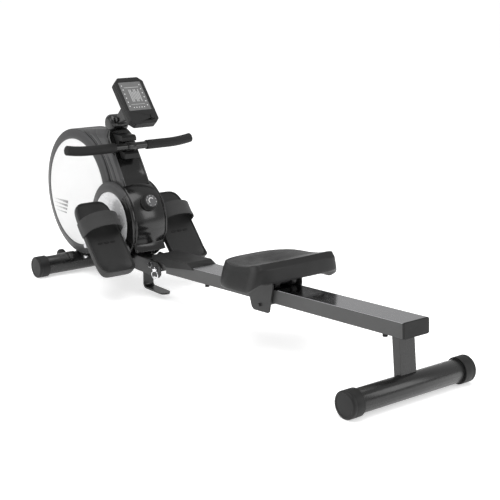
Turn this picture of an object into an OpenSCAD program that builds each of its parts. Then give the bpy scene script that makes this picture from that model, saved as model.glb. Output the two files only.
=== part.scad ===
// Folding magnetic rowing machine: a sloping rail with a rolling seat, a hinge
// that lets the rail swing up, and a front housing that holds a flywheel, a
// magnetic brake and a self-winding pull strap.
//
// Frame: X runs from the housing to the rear foot, Y across, Z up. The origin
// is on the floor at the middle of the machine's length and width.

/* [Overall] */
// Length of the whole machine
overall_len = 1840; // [1700:10:2000]
// Width over the handlebar
handlebar_w = 495; // [440:5:560]
// Length of each floor stabilizer over its end caps
stabilizer_len = 446; // [400:2:520]

/* [Rail] */
// Width of the rail tube
rail_w = 90; // [80:1:100]
// Height of the rail with its running plate
rail_h = 41.5; // [38:0.5:50]
// Rise of the rail towards its rear end, in degrees
rail_slope = 3.6; // [2:0.1:4.5]
// Distance from the hinge to the rail tube's front end
rail_setback = 80; // [76:1:100]

/* [Seat] */
// Width of the seat
seat_w = 318; // [280:2:340]
// Depth of the seat, front to back
seat_d = 241; // [220:1:270]
// Distance from the hinge to the seat's middle
seat_pos = 580; // [480:5:640]

/* [Housing] */
// Radius of the flywheel housing
disc_r = 223; // [215:1:235]
// Width of the flywheel housing
disc_w = 128; // [124:1:136]
// Radius of the white panel on the housing
disc_inlay_r = 189; // [170:1:195]
// Radius of the drum cover round the pull-strap spool
drum_r = 136; // [132:1:140]
// Width over the two drum covers
drum_w = 146; // [142:1:150]
// Radius of the panel on the drum cover
drum_inlay_r = 102; // [96:1:108]
// Thickness of the plastic covers
shell_t = 3; // [2.5:0.1:4]

/* [Foot plates] */
// Length of a foot plate
foot_l = 274; // [240:2:290]
// Width of a foot plate
foot_w = 130; // [116:1:136]
// Slope of a foot plate, in degrees
foot_slope = 48; // [42:1:54]

/* [Drive] */
// Radius of the flywheel
flywheel_r = 140; // [120:1:150]
// Radius of the belt pulley on the spool shaft
pulley_r = 60; // [56:1:61]
// Radius of the small sheave on the flywheel axle
sheave_r = 15; // [14:0.5:18]

/* [Console] */
// Width of the console
console_w = 110; // [100:1:120]
// Height of the console along its face
console_h = 180; // [165:1:190]
// Thickness of the console
console_t = 26; // [22:1:30]

/* [Hidden] */
// Clearances: a shaft in its bore, a solid beside another, a moving solid.
run_gap = 0.05;
lay_gap = 0.3;
move_gap = 1;

// Floor stabilizers
cap_r = 37.5;
cap_len = 40;
cap_flat = 0.6;
stab_r = 32.5;
stab_wall = 2;
collar_r = stab_r + 4;
front_x = -overall_len/2 + disc_r - 26;
rear_x = overall_len/2 - cap_r;

// Centres of the flywheel housing and of the drum
disc_x = -overall_len/2 + disc_r;
disc_z = 295;
core_x = disc_x + 265;
drum_x = core_x - 21;
drum_z = 232.5;
disc_face = disc_w/2;
drum_face = drum_w/2;
drum_wall_y = 60;
drum_crown = 8;

// Base beam and mast
beam_w = 50;
beam_z0 = 76;
beam_z1 = 126;
mast_x = core_x - 98;
mast_t = 24;
mast_w = 40;
mast_top = 546;
plate_t = 5;

// Fold hinge, lock pin and the rail's running line
hinge_x = core_x + 187;
hinge_z = 123;
hinge_r = 6;
pin_dx = 30;
pin_dz = -8;
pin_r = 5;
pin_x = hinge_x + pin_dx;
pin_z = hinge_z + pin_dz;
ear_y = 41;
tongue_y = 30;
tongue_t = 6;
rail_over_hinge = 24;
top_plate_t = 1.5;
tube_wall = 2.5;
rail_end_x = rear_x + 16;
rail_end = (rail_end_x - hinge_x)/cos(rail_slope);
rail_y = rail_w/2;

// Column: its rear face leans forward from the drum's top
col_x = core_x + 25;
col_z = 380;
col_lean = 33.4;
col_y = 54;
col_panel_t = 12;
col_len = 190;
top_x = core_x - 88;
top_z = 556;
top_r = 27;
top_y = 33;

// Handlebar at rest
bar_x = core_x - 3;
bar_z = 486;
bar_r = 12.5;
grip_r = 16;
grip_start = 60;
grip_rise = 9;
bend_start = 150;
rest_y = 28;
strap_w = 20;
strap_t = 2;
strap_z = bar_z;
strap_x0 = core_x - 31;

// Spool shaft, brake pivot and idler
shaft_r = 7.5;
spool_r = 32;
spool_flange_r = 55;
axle_r = 6;
belt_y = 34;
belt_w = 12;
belt_t = 2.5;
fork_y = 19;
fork_t = 5;
brake_x = disc_x + 126;
brake_z = disc_z + 106;
brake_pin_r = 4;
idler_x = core_x - 70;
idler_r = 10;
idler_z = bar_z - strap_t/2 - idler_r;
idler_pin_r = 4;

// Foot plates: the axle they swing on, and their place beside the drum
foot_x = core_x + 29;
foot_z = 179;
foot_y = drum_face + foot_w/2 + 5;
foot_axle_r = 8;
foot_axle_y = foot_y + foot_w/2 - 4;
foot_top = 40;
foot_skirt = 22;

// Console: middle of its face, its tilt and its pivot
face_x = core_x + 41.5;
face_z = 645;
face_tilt = 39.8;
tilt_x = core_x - 53;
tilt_z = 572;
tilt_pin_r = 4;
corner_cut = 16;
screen_w = 86;
screen_h = 112;
screen_z = 18;

// Tension knob on the drum's rear face
knob_angle = 32;
knob_r = 29;
knob_h = 24;
spindle_r = 4;

// Seat carriage, in millimetres above the rail's running surface
seat_low = 14;
seat_rim = 44;
seat_front_top = 77;
seat_top = 89;
base_top = 40;
carriage_top = base_top - 10 - lay_gap;
roller_r = 14;
roller_dx = 42;
under_r = 11;
side_y = rail_y + 6;
side_t = 5;
roller_axle_r = 5;

// Transport wheels
wheel_r = 24;
wheel_w = 20;
wheel_y = 84;
wheel_x = front_x - 63;
wheel_z = 46;
wheel_axle_r = 4;

$fn = 64;

// ---------- shared shapes and frames ----------

// Cylinder along Y between two Y values, centred on (x, z).
module bar_y(x, z, r, y0, y1, fn = 64)
  translate([x, y1, z]) rotate([90, 0, 0]) cylinder(h = y1 - y0, r = r, $fn = fn);

// Tube along Y.
module tube_y(x, z, r_out, r_in, y0, y1, fn = 64)
  difference() {
    bar_y(x, z, r_out, y0, y1, fn);
    bar_y(x, z, r_in, y0 - 1, y1 + 1, fn);
  }

// Box from its two opposite corners.
module block(a, b) translate(a) cube(b - a);

// Outline drawn in the X-Z plane, extruded from y0 to y1.
module plate_xz(y0, y1)
  translate([0, y1, 0]) rotate([90, 0, 0]) linear_extrude(y1 - y0) children();

// Height of the rail's running surface at a given X.
function rail_z(x) = hinge_z + rail_over_hinge + (x - hinge_x)*tan(rail_slope);

// Frame on the rail's running surface, s millimetres along it from the hinge.
module on_rail(s)
  translate([hinge_x + s*cos(rail_slope), 0, rail_z(hinge_x) + s*sin(rail_slope)])
    rotate([0, -rail_slope, 0]) children();

// Frame on the column's rear face: X out of the face, Z up along it.
module on_column() translate([col_x, 0, col_z]) rotate([0, -col_lean, 0]) children();

// Frame of the console: X out of its face, Z up along it.
module on_console() translate([face_x, 0, face_z]) rotate([0, -face_tilt, 0]) children();

// Frame of a foot plate: X towards the heel, Z out of the sole, origin on its axle.
module on_foot(side)
  translate([foot_x, side*foot_y, foot_z]) rotate([0, foot_slope, 0]) children();

// Both sides, as side = -1 and side = 1.
module both_sides() for (side = [-1, 1]) mirror([0, side < 0 ? 1 : 0, 0]) children();

// ---------- floor stabilizers ----------

module stabilizer_tube(x) {
  half = stabilizer_len/2 - 4 - lay_gap;
  tube_y(x, cap_r, stab_r, stab_r - stab_wall, -half, half);
}

module stabilizer_caps(x)
  both_sides() {
    y_out = stabilizer_len/2;
    y_in = y_out - cap_len;
    difference() {
      bar_y(x, cap_r - cap_flat, cap_r, y_in, y_out);
      bar_y(x, cap_r, stab_r + lay_gap, y_in - 1, y_out - 4);
      // flat that the cap stands on
      block([x - cap_r, y_in - 1, -cap_r], [x + cap_r, y_out + 1, 0]);
    }
  }

module front_stabilizer_tube() color([0.10, 0.10, 0.10]) stabilizer_tube(front_x);
module front_stabilizer_caps() color([0.17, 0.17, 0.17]) stabilizer_caps(front_x);
module rear_stabilizer_tube() color([0.10, 0.10, 0.10]) stabilizer_tube(rear_x);
module rear_stabilizer_caps() color([0.17, 0.17, 0.17]) stabilizer_caps(rear_x);

// Domed bolts that clamp the base beam's collar onto the front tube.
bolt_y = 41;
bolt_angle = 62;
module stabilizer_bolts()
  color([0.85, 0.85, 0.87]) both_sides()
    translate([front_x, bolt_y, cap_r]) rotate([0, bolt_angle, 0])
      translate([0, 0, collar_r + lay_gap]) {
        cylinder(h = 4, r = 8);
        translate([0, 0, 4]) intersection() {
          sphere(r = 6);
          cylinder(h = 7, r = 7);
        }
      }

// Saddle and fork for each transport wheel, wrapped over the front tube.
module wheel_brackets()
  color([0.12, 0.12, 0.12]) both_sides() {
    y0 = wheel_y - 16;
    y1 = wheel_y + 16;
    difference() {
      union() {
        bar_y(front_x, cap_r, collar_r, y0, y1);
        for (y = [y0, y1 - 4])
          plate_xz(y, y + 4) {
            translate([wheel_x, wheel_z]) circle(r = 10);
            polygon([
              [wheel_x, wheel_z + 10], [wheel_x, wheel_z - 10],
              [front_x - 20, cap_r - 12], [front_x - 14, cap_r + 34]
            ]);
          }
        bar_y(wheel_x, wheel_z, wheel_axle_r, y0, y1);
      }
      bar_y(front_x, cap_r, stab_r + lay_gap, y0 - 1, y1 + 1);
      block([front_x - 60, y0 - 1, -60], [front_x + 60, y1 + 1, cap_r - 14]);
      block([front_x + 10, y0 - 1, -60], [front_x + 60, y1 + 1, cap_r + 4]);
    }
  }

module transport_wheel(side)
  color([0.08, 0.08, 0.08]) translate([0, side*wheel_y, 0]) {
    half = wheel_w/2;
    translate([wheel_x, 0, wheel_z]) rotate([90, 0, 0]) rotate_extrude()
      polygon([
        [wheel_axle_r + run_gap, -half], [wheel_r - 4, -half], [wheel_r, -half + 4],
        [wheel_r, half - 4], [wheel_r - 4, half], [wheel_axle_r + run_gap, half]
      ]);
  }
module left_transport_wheel() transport_wheel(-1);
module right_transport_wheel() transport_wheel(1);

// ---------- main frame ----------

// Side plate of the bracket that holds the rail's hinge.
module hinge_ear_outline()
  polygon([
    [hinge_x - 100, hinge_z - 37], [hinge_x - 100, hinge_z + 2], [hinge_x - 88, hinge_z + 12],
    [hinge_x + 34, hinge_z + 12], [hinge_x + 49, hinge_z + 2], [hinge_x + 49, hinge_z - 26],
    [hinge_x + 38, hinge_z - 37]
  ]);

// Cheek that carries the spool shaft, welded to the mast.
module shaft_cheek_outline()
  polygon([
    [mast_x - mast_t/2, drum_z - 40], [mast_x - mast_t/2, drum_z + 52],
    [drum_x + 8, drum_z + 18], [drum_x + 18, drum_z], [drum_x + 8, drum_z - 18]
  ]);

// Cheek that carries the brake pivot, welded to the mast.
module brake_cheek_outline() {
  translate([brake_x, brake_z]) circle(r = 12);
  polygon([
    [brake_x, brake_z - 12], [brake_x, brake_z + 12],
    [mast_x, brake_z + 20], [mast_x, brake_z - 20]
  ]);
}

// Cheek that carries the strap idler, welded to the mast.
module idler_cheek_outline() {
  translate([idler_x, idler_z]) circle(r = 8);
  polygon([
    [idler_x, idler_z - 8], [idler_x, idler_z + 8], [mast_x, idler_z + 14], [mast_x, idler_z - 14]
  ]);
}

module main_frame() {
  beam_x0 = disc_x - 63;
  beam_x1 = hinge_x - 55;
  axle_y = ear_y + 3;
  color([0.13, 0.13, 0.13]) difference() {
    union() {
      block([beam_x0, -beam_w/2, beam_z0], [beam_x1, beam_w/2, beam_z1]);
      // saddle over the front tube, with a flange for its bolts
      block([front_x - 26, -beam_w/2, cap_r + 20], [front_x + 26, beam_w/2, beam_z0 + 1]);
      tube_y(front_x, cap_r, collar_r, stab_r + run_gap, -50, 50);
      // mast with the console lug at its top
      block([mast_x - mast_t/2, -mast_w/2, beam_z1 - 1], [mast_x + mast_t/2, mast_w/2, mast_top]);
      plate_xz(-13, 13) {
        polygon([
          [mast_x - 8, mast_top - 30], [mast_x - 8, mast_top - 6],
          [tilt_x - 6, tilt_z + 10], [tilt_x + 6, tilt_z - 10]
        ]);
        translate([tilt_x, tilt_z]) circle(r = 12);
      }
      both_sides() {
        plate_xz(fork_y, fork_y + fork_t) {
          shaft_cheek_outline();
          brake_cheek_outline();
          idler_cheek_outline();
          polygon([
            [disc_x - 20, beam_z1 - 1], [disc_x - 16, disc_z + 14], [disc_x + 16, disc_z + 14],
            [disc_x + 20, beam_z1 - 1]
          ]);
        }
        plate_xz(ear_y, ear_y + plate_t) hinge_ear_outline();
        // upright that carries the foot plates' axle
        block([foot_x - 16, axle_y, beam_z1 - 14], [foot_x + 16, axle_y + 6, foot_z]);
        bar_y(foot_x, foot_z, 16, axle_y, axle_y + 6);
      }
      // cross plates under the hinge bracket and under the axle uprights
      block([hinge_x - 100, -ear_y - 1, hinge_z - 37], [hinge_x - 22, ear_y + 1, hinge_z - 32]);
      block([foot_x - 16, -axle_y - 1, beam_z1 - 14], [foot_x + 16, axle_y + 1, beam_z1 - 8]);
      bar_y(brake_x, brake_z, brake_pin_r, -fork_y - 1, fork_y + 1);
      bar_y(idler_x, idler_z, idler_pin_r, -fork_y - 1, fork_y + 1);
    }
    // the front tube's path below the saddle
    bar_y(front_x, cap_r, stab_r + run_gap, -60, 60);
    block([front_x - 60, -60, -10], [front_x + 60, 60, cap_r + 4]);
    // bores: axle bearings, spool bearings, hinge, lock pin, foot axle, console pivot
    bar_y(disc_x, disc_z, 11 + run_gap, -60, 60);
    bar_y(drum_x, drum_z, 14 + run_gap, -60, 60);
    bar_y(hinge_x, hinge_z, hinge_r + run_gap, -60, 60);
    bar_y(pin_x, pin_z, pin_r + run_gap, -60, 60);
    bar_y(foot_x, foot_z, foot_axle_r + run_gap, -60, 60);
    bar_y(tilt_x, tilt_z, tilt_pin_r + run_gap, -60, 60);
    // hollow of the base beam
    block([beam_x0 + 30, -beam_w/2 + 3, beam_z0 + 3], [beam_x1 + 1, beam_w/2 - 3, beam_z1 - 3]);
  }
}

// Bent flat bar that steadies the machine when the rail is folded up.
module support_foot() {
  x0 = hinge_x - 96;
  t = 6;
  bend = 10;
  y = 19;
  low = 18;
  color([0.15, 0.15, 0.15]) difference() {
    union() {
      block([x0, -y, low + t + bend], [x0 + t, y, beam_z0 - lay_gap/3]);
      translate([x0 + t + bend, y, low + t + bend]) rotate([90, 0, 0]) rotate([0, 0, 180])
        rotate_extrude(angle = 90) translate([bend, 0]) square([t, 2*y]);
      block([x0 + t + bend, -y, low], [x0 + 100, y, low + t]);
      translate([x0 + 100, 0, low]) cylinder(h = t, r = y);
    }
  }
}

// ---------- housing ----------

// Side view of the column's fin, grown inwards by "in".
module fin_outline(in) {
  dx = sin(col_lean);
  dz = cos(col_lean);
  back = -col_panel_t - lay_gap - in;
  base = [col_x + back*dz, col_z + back*dx];
  polygon([
    base + (-22 + in)*[-dx, dz], base + (col_len - in)*[-dx, dz],
    [disc_x + 48 + in, disc_z + disc_r + 6 - in], [disc_x + 30 + in, disc_z + disc_r - 30],
    [disc_x + 60, disc_z + 60], [drum_x - 120, drum_z]
  ]);
}

// Space that the mast's head and its lug need through the covers.
module mast_room() {
  block([mast_x - mast_t/2 - 1, -mast_w/2 - 1, beam_z1], [mast_x + mast_t/2 + 1, mast_w/2 + 1, top_z]);
  block([mast_x - 10, -14, mast_top - 32], [tilt_x + 20, 14, tilt_z + 14]);
}

// One half of the housing: the flywheel disc and half of the column's fin.
module housing_half()
  difference() {
    union() {
      bar_y(disc_x, disc_z, disc_r, 0.1, disc_face, 128);
      plate_xz(0.1, col_y) fin_outline(0);
    }
    // hollow inside
    bar_y(disc_x, disc_z, disc_r - shell_t, -1, disc_face - shell_t, 128);
    plate_xz(-1, col_y - shell_t) fin_outline(shell_t);
    // seat for the white panel
    bar_y(disc_x, disc_z, disc_inlay_r, disc_face - 1.6, disc_face + 1, 128);
    // room for the drum, the base beam, its saddle and the column's cap
    bar_y(drum_x, drum_z, drum_r - 14, -1, disc_face - 12, 96);
    block([disc_x - 66, -1, beam_z0 - 1], [drum_x + 60, beam_w/2 + 1, beam_z1 + 1]);
    bar_y(front_x, cap_r, stab_r + 5, -1, 52);
    block([front_x - 27, -1, 60], [front_x + 27, beam_w/2 + 1, beam_z1]);
    mast_room();
    bar_y(top_x, top_z, top_r + lay_gap, -1, top_y + lay_gap);
    block([strap_x0 - 60, -1, strap_z - 12], [strap_x0 + 40, strap_w/2 + 4, strap_z + 10]);
  }
module left_housing_shell() color([0.19, 0.19, 0.19]) mirror([0, 1, 0]) housing_half();
module right_housing_shell() color([0.19, 0.19, 0.19]) housing_half();

// White panels let into the two faces of the housing.
module disc_inlays()
  color([0.93, 0.93, 0.93]) both_sides()
    bar_y(disc_x, disc_z, disc_inlay_r - lay_gap, disc_face - 1.5, disc_face, 128);

// Round cover over the spool's side of the drum.
module drum_cover()
  difference() {
    bar_y(drum_x, drum_z, drum_r, drum_wall_y + lay_gap, drum_face, 128);
    bar_y(drum_x, drum_z, drum_r - shell_t, drum_wall_y - 1, drum_face - shell_t - 2, 128);
    bar_y(drum_x, drum_z, drum_inlay_r, drum_face - 1.6, drum_face + 1, 128);
    bar_y(disc_x, disc_z, disc_r + lay_gap, drum_wall_y - 1, disc_face + lay_gap, 128);
    bar_y(foot_x, foot_z, foot_axle_r + 1, 0, drum_face + 1);
  }
module left_drum_cover() color([0.19, 0.19, 0.19]) mirror([0, 1, 0]) drum_cover();
module right_drum_cover() color([0.19, 0.19, 0.19]) drum_cover();

module drum_inlays()
  color([0.8, 0.8, 0.8]) both_sides() difference() {
    bar_y(drum_x, drum_z, drum_inlay_r - lay_gap, drum_face - 1.5, drum_face, 128);
    bar_y(foot_x, foot_z, foot_axle_r + 1, 0, drum_face + 1);
  }

// Barrel round the spool, crowned across its width and grown inwards by "in".
module barrel(in) {
  half = drum_wall_y - in;
  crown_r = (drum_wall_y*drum_wall_y + drum_crown*drum_crown)/(2*drum_crown);
  translate([drum_x, 0, drum_z]) rotate([90, 0, 0]) rotate_extrude($fn = 128)
    intersection() {
      translate([0, -half]) square([drum_r + drum_crown, 2*half]);
      translate([drum_r + drum_crown - crown_r, 0]) circle(r = crown_r - in, $fn = 128);
    }
}

// Skirt that carries the rear face down to the rail, grown inwards by "in".
module skirt(in)
  plate_xz(-drum_wall_y + in, drum_wall_y - in)
    polygon([
      [drum_x - 40, skirt_z - in], [drum_x + drum_r + 14 - in, skirt_z - in],
      [drum_x + drum_r - in, drum_z], [drum_x - 40, drum_z]
    ]);

// Gloss cover that wraps the spool: two side walls and the curved rear face.
skirt_z = 150;
module centre_cover()
  color([0.04, 0.04, 0.04]) difference() {
    union() {
      barrel(0);
      skirt(0);
    }
    barrel(shell_t);
    skirt(shell_t);
    bar_y(disc_x, disc_z, disc_r + lay_gap, -disc_face - lay_gap, disc_face + lay_gap, 128);
    // open underside, and room for the base beam and the hinge bracket
    block([drum_x - 160, -drum_wall_y + shell_t, 60], [hinge_x, drum_wall_y - shell_t, 140]);
    block([hinge_x - 110, -drum_wall_y - 1, 60], [hinge_x, drum_wall_y + 1, 140]);
    bar_y(foot_x, foot_z, foot_axle_r + 1, -80, 80);
    mast_room();
    // bore of the knob's spindle
    translate([drum_x, 0, drum_z]) rotate([0, 90 - knob_angle, 0])
      translate([0, 0, drum_r - 20]) cylinder(h = 40, r = spindle_r + run_gap);
    // room for the column's fin and its rear panel
    column_room();
  }

// Space of the column, which stands on the barrel.
module column_room() {
  on_column() block([-120, -col_y - lay_gap, -34], [lay_gap, col_y + lay_gap, 80]);
}

// Rear panel of the column, with a hollow for the hands to clear the bar.
module column_cover()
  color([0.05, 0.05, 0.05]) difference() {
    on_column() difference() {
      block([-col_panel_t, -col_y, -14], [0, col_y, col_len]);
      translate([92, 0, -40]) cylinder(h = 106, r = 100, $fn = 96);
    }
    mast_room();
    bar_y(top_x, top_z, top_r + lay_gap, -top_y - lay_gap, top_y + lay_gap);
    block([strap_x0 - 60, -strap_w/2 - 4, strap_z - 12], [strap_x0 + 40, strap_w/2 + 4, strap_z + 10]);
  }

// Rounded cap on top of the column, round the mast's head.
module column_cap()
  color([0.16, 0.16, 0.16]) difference() {
    bar_y(top_x, top_z, top_r, -top_y, top_y);
    bar_y(top_x, top_z, top_r - shell_t, -top_y + shell_t, top_y - shell_t);
    block([mast_x - mast_t/2 - 1, -mast_w/2 - 1, 400], [mast_x + mast_t/2 + 1, mast_w/2 + 1, 552]);
    block([top_x + 6, -14, top_z - 16], [top_x + 40, 14, top_z + 24]);
    bar_y(tilt_x, tilt_z, 13.5, -20, 20);
  }

// Cradle that the bar's middle rests in, open towards the rower.
module handle_rest()
  color([0.10, 0.10, 0.10]) difference() {
    plate_xz(-rest_y, rest_y)
      polygon([
        [bar_x - 66, bar_z + 36], [bar_x - 14, bar_z + 36], [bar_x - 6, bar_z + 29],
        [bar_x - 6, bar_z + 17], [bar_x - 28, bar_z + 17], [bar_x - 28, bar_z - 17],
        [bar_x + 2, bar_z - 17], [bar_x + 9, bar_z - 24], [bar_x + 9, bar_z - 40],
        [bar_x - 30, bar_z - 40]
      ]);
    on_column() block([-200, -100, -200], [lay_gap/3, 100, 300]);
    block([strap_x0 - 60, -strap_w/2 - 4, strap_z - 12], [strap_x0 + 40, strap_w/2 + 4, strap_z + 10]);
  }

// Dial that sets the brake: a grip, a raised pointer and its spindle.
module tension_knob()
  color([0.12, 0.12, 0.12])
    translate([drum_x, 0, drum_z]) rotate([0, 90 - knob_angle, 0])
      translate([0, 0, drum_r + drum_crown]) {
        translate([0, 0, 0.6]) cylinder(h = 7, r = knob_r);
        translate([0, 0, 7]) cylinder(h = knob_h - 8, r = knob_r - 3);
        translate([0, 0, -16]) cylinder(h = 20, r = spindle_r);
        translate([0, 0, -16]) cylinder(h = 5, r = 9);
        translate([-22, -2, knob_h - 2]) cube([14, 4, 2.5]);
      }

// ---------- drive ----------

module flywheel()
  color([0.35, 0.35, 0.36]) translate([disc_x, 0, disc_z]) rotate([90, 0, 0])
    rotate_extrude($fn = 128)
      polygon([
        [axle_r, -16], [22, -16], [22, -3], [flywheel_r - 30, -3], [flywheel_r - 26, -12],
        [flywheel_r, -12], [flywheel_r, 12], [flywheel_r - 26, 12], [flywheel_r - 30, 3],
        [22, 3], [22, 16], [axle_r, 16]
      ]);

// Axle pressed through the flywheel, with the belt sheave on its end.
module flywheel_axle()
  color([0.7, 0.7, 0.72]) {
    bar_y(disc_x, disc_z, axle_r, -26, -16);
    bar_y(disc_x, disc_z, axle_r - run_gap, -16, 16);
    bar_y(disc_x, disc_z, axle_r, 16, 46);
    bar_y(disc_x, disc_z, sheave_r, belt_y - belt_w/2, belt_y + belt_w/2);
    for (y = [belt_y - belt_w/2 - 2, belt_y + belt_w/2])
      bar_y(disc_x, disc_z, sheave_r + 4, y, y + 2);
  }

// Two ball bearings for the flywheel axle and two for the spool shaft.
module bearings()
  color([0.6, 0.6, 0.62]) both_sides() {
    tube_y(disc_x, disc_z, 11, axle_r + run_gap, fork_y, fork_y + fork_t);
    tube_y(drum_x, drum_z, 14, shaft_r + run_gap, fork_y, fork_y + fork_t);
  }

// Area inside a belt line that runs g outside both pulleys.
module belt_area(g) hull() {
  translate([disc_x, disc_z]) circle(r = sheave_r + g, $fn = 32);
  translate([drum_x, drum_z]) circle(r = pulley_r + g, $fn = 96);
}

module drive_belt()
  color([0.06, 0.06, 0.06])
    plate_xz(belt_y - belt_w/2 + 0.5, belt_y + belt_w/2 - 0.5) difference() {
      belt_area(2*lay_gap + belt_t);
      belt_area(2*lay_gap);
    }

// Belt pulley with the shaft that the strap spool turns on.
module drive_pulley()
  color([0.22, 0.22, 0.22]) {
    bar_y(drum_x, drum_z, shaft_r, -46, 48);
    difference() {
      union() {
        bar_y(drum_x, drum_z, pulley_r, belt_y - belt_w/2, belt_y + belt_w/2, 96);
        bar_y(drum_x, drum_z, pulley_r + 2, belt_y - belt_w/2 - 2, belt_y - belt_w/2, 96);
        bar_y(drum_x, drum_z, pulley_r + 2, belt_y + belt_w/2, belt_y + belt_w/2 + 2, 96);
      }
      for (a = [0 : 60 : 300])
        translate([drum_x, 0, drum_z]) rotate([0, a, 0]) bar_y(pulley_r*0.58, 0, 13, 0, 60);
    }
  }

// Flanged drum that the strap winds on, with the strap's wound layers.
module strap_spool()
  color([0.3, 0.3, 0.3]) translate([drum_x, 0, drum_z]) rotate([90, 0, 0])
    rotate_extrude($fn = 96)
      polygon([
        [shaft_r + run_gap, -17], [spool_flange_r, -17], [spool_flange_r, -12.5],
        [spool_r, -12.5], [spool_r, 12.5], [spool_flange_r, 12.5], [spool_flange_r, 17],
        [shaft_r + run_gap, 17]
      ]);

// Flat spiral that winds the strap back in.
spring_turns = 6;
spring_r0 = 14;
spring_pitch = 5;
function spring_r(a) = spring_r0 + spring_pitch*a/360;
module recoil_spring() {
  last = 360*spring_turns;
  color([0.5, 0.5, 0.52]) plate_xz(-42, -28)
    translate([drum_x, drum_z])
      polygon(concat(
        [for (a = [0 : 15 : last]) spring_r(a)*[cos(a), sin(a)]],
        [for (a = [last : -15 : 0]) (spring_r(a) + 1)*[cos(a), sin(a)]]
      ));
}

// Roller that turns the strap from the column towards the handlebar.
module strap_idler()
  color([0.25, 0.25, 0.25]) {
    tube_y(idler_x, idler_z, idler_r, idler_pin_r + run_gap, -strap_w/2 - 1, strap_w/2 + 1);
    for (y = [-strap_w/2 - 3, strap_w/2 + 1])
      tube_y(idler_x, idler_z, idler_r + 2, idler_pin_r + run_gap, y, y + 2);
  }

// Curved shoe that carries the magnets, swinging on the pin beside the mast.
module brake_arm() {
  r0 = flywheel_r + 5;
  r1 = flywheel_r + 11;
  color([0.45, 0.45, 0.46]) difference() {
    union() {
      intersection() {
        tube_y(disc_x, disc_z, r1, r0, -15, 15, 128);
        plate_xz(-16, 16) translate([disc_x, disc_z])
          polygon([[0, 0], 260*[cos(36), sin(36)], 260*[cos(80), sin(80)], 260*[cos(125), sin(125)]]);
      }
      bar_y(brake_x, brake_z, 9, -15, 15);
      plate_xz(-15, 15) translate([disc_x, disc_z])
        polygon([
          (r0 + 1)*[cos(37), sin(37)], (r0 + 22)*[cos(37.5), sin(37.5)],
          (r0 + 22)*[cos(42), sin(42)], (r0 + 1)*[cos(50), sin(50)]
        ]);
    }
    bar_y(brake_x, brake_z, brake_pin_r + run_gap, -20, 20);
    bar_y(disc_x, disc_z, r0, -20, 20, 128);
  }
}

// Block magnets on the inside of the shoe.
module brake_magnets()
  color([0.75, 0.75, 0.78])
    for (a = [52 : 12 : 112]) translate([disc_x, 0, disc_z]) rotate([0, -a, 0])
      block([flywheel_r + 2, -12, -6], [flywheel_r + 4.4, 12, 6]);

// Strap inside the column, from the spool up to the idler.
module inner_strap() {
  from = [drum_x - spool_r - 1, drum_z + 6];
  to = [idler_x - idler_r - lay_gap, idler_z];
  color([0.07, 0.07, 0.07]) plate_xz(-strap_w/2, strap_w/2)
    polygon([from, from + [-strap_t, 0], to + [-strap_t, 0], to]);
}

// Strap between the column and the clip, which pays out as the bar is pulled.
module pull_strap()
  color([0.07, 0.07, 0.07])
    block([strap_x0 - 6, -strap_w/2, strap_z - strap_t/2],
          [bar_x - bar_r - 7 - lay_gap, strap_w/2, strap_z + strap_t/2]);

// ---------- handlebar ----------

// Rise of the bar's centre line at a distance y from the middle.
bend_len = handlebar_w/2 - bend_start - 0.18*grip_r;
bend_r = (bend_len*bend_len + grip_rise*grip_rise)/(2*grip_rise);
bend_angle = asin(bend_len/bend_r);

// One half of the bar, r thick, from y0 to its raised end.
module bar_half(r, y0, y_end_cut) {
  bar_y(bar_x, bar_z, r, y0, bend_start);
  translate([bar_x, bend_start, bar_z + bend_r]) rotate([0, 90, 0])
    rotate_extrude(angle = bend_angle - y_end_cut, $fn = 128) translate([bend_r, 0]) circle(r = r, $fn = 48);
}

module handlebar_tube() color([0.08, 0.08, 0.08]) {
  both_sides() bar_half(bar_r, -0.01, 2.5);
}

// Foam sleeves over both halves of the bar.
module handlebar_grips()
  color([0.10, 0.10, 0.10]) both_sides() difference() {
    bar_half(grip_r, grip_start, 0);
    bar_half(bar_r + lay_gap, grip_start - 1, 2);
  }

// Clamp round the middle of the bar, with the eye that holds the strap.
module strap_clip()
  color([0.2, 0.2, 0.2]) difference() {
    union() {
      bar_y(bar_x, bar_z, bar_r + 3, -15, 15);
      block([bar_x - bar_r - 7, -13, bar_z - 6], [bar_x, 13, bar_z + 6]);
    }
    bar_y(bar_x, bar_z, bar_r + run_gap, -20, 20);
  }

// ---------- foot plates ----------

module pedal_axle()
  color([0.6, 0.6, 0.62]) bar_y(foot_x, foot_z, foot_axle_r, -foot_axle_y, foot_axle_y);

// Plan of the sole: straight sides, with a round toe and a rounder heel.
module sole_plan(in)
  intersection() {
    square([foot_l - 2*in, foot_w - 2*in], center = true);
    translate([foot_l/2 - 190, 0]) circle(r = 190 - in, $fn = 128);
    translate([-foot_l/2 + 260, 0]) circle(r = 260 - in, $fn = 128);
  }

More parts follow.
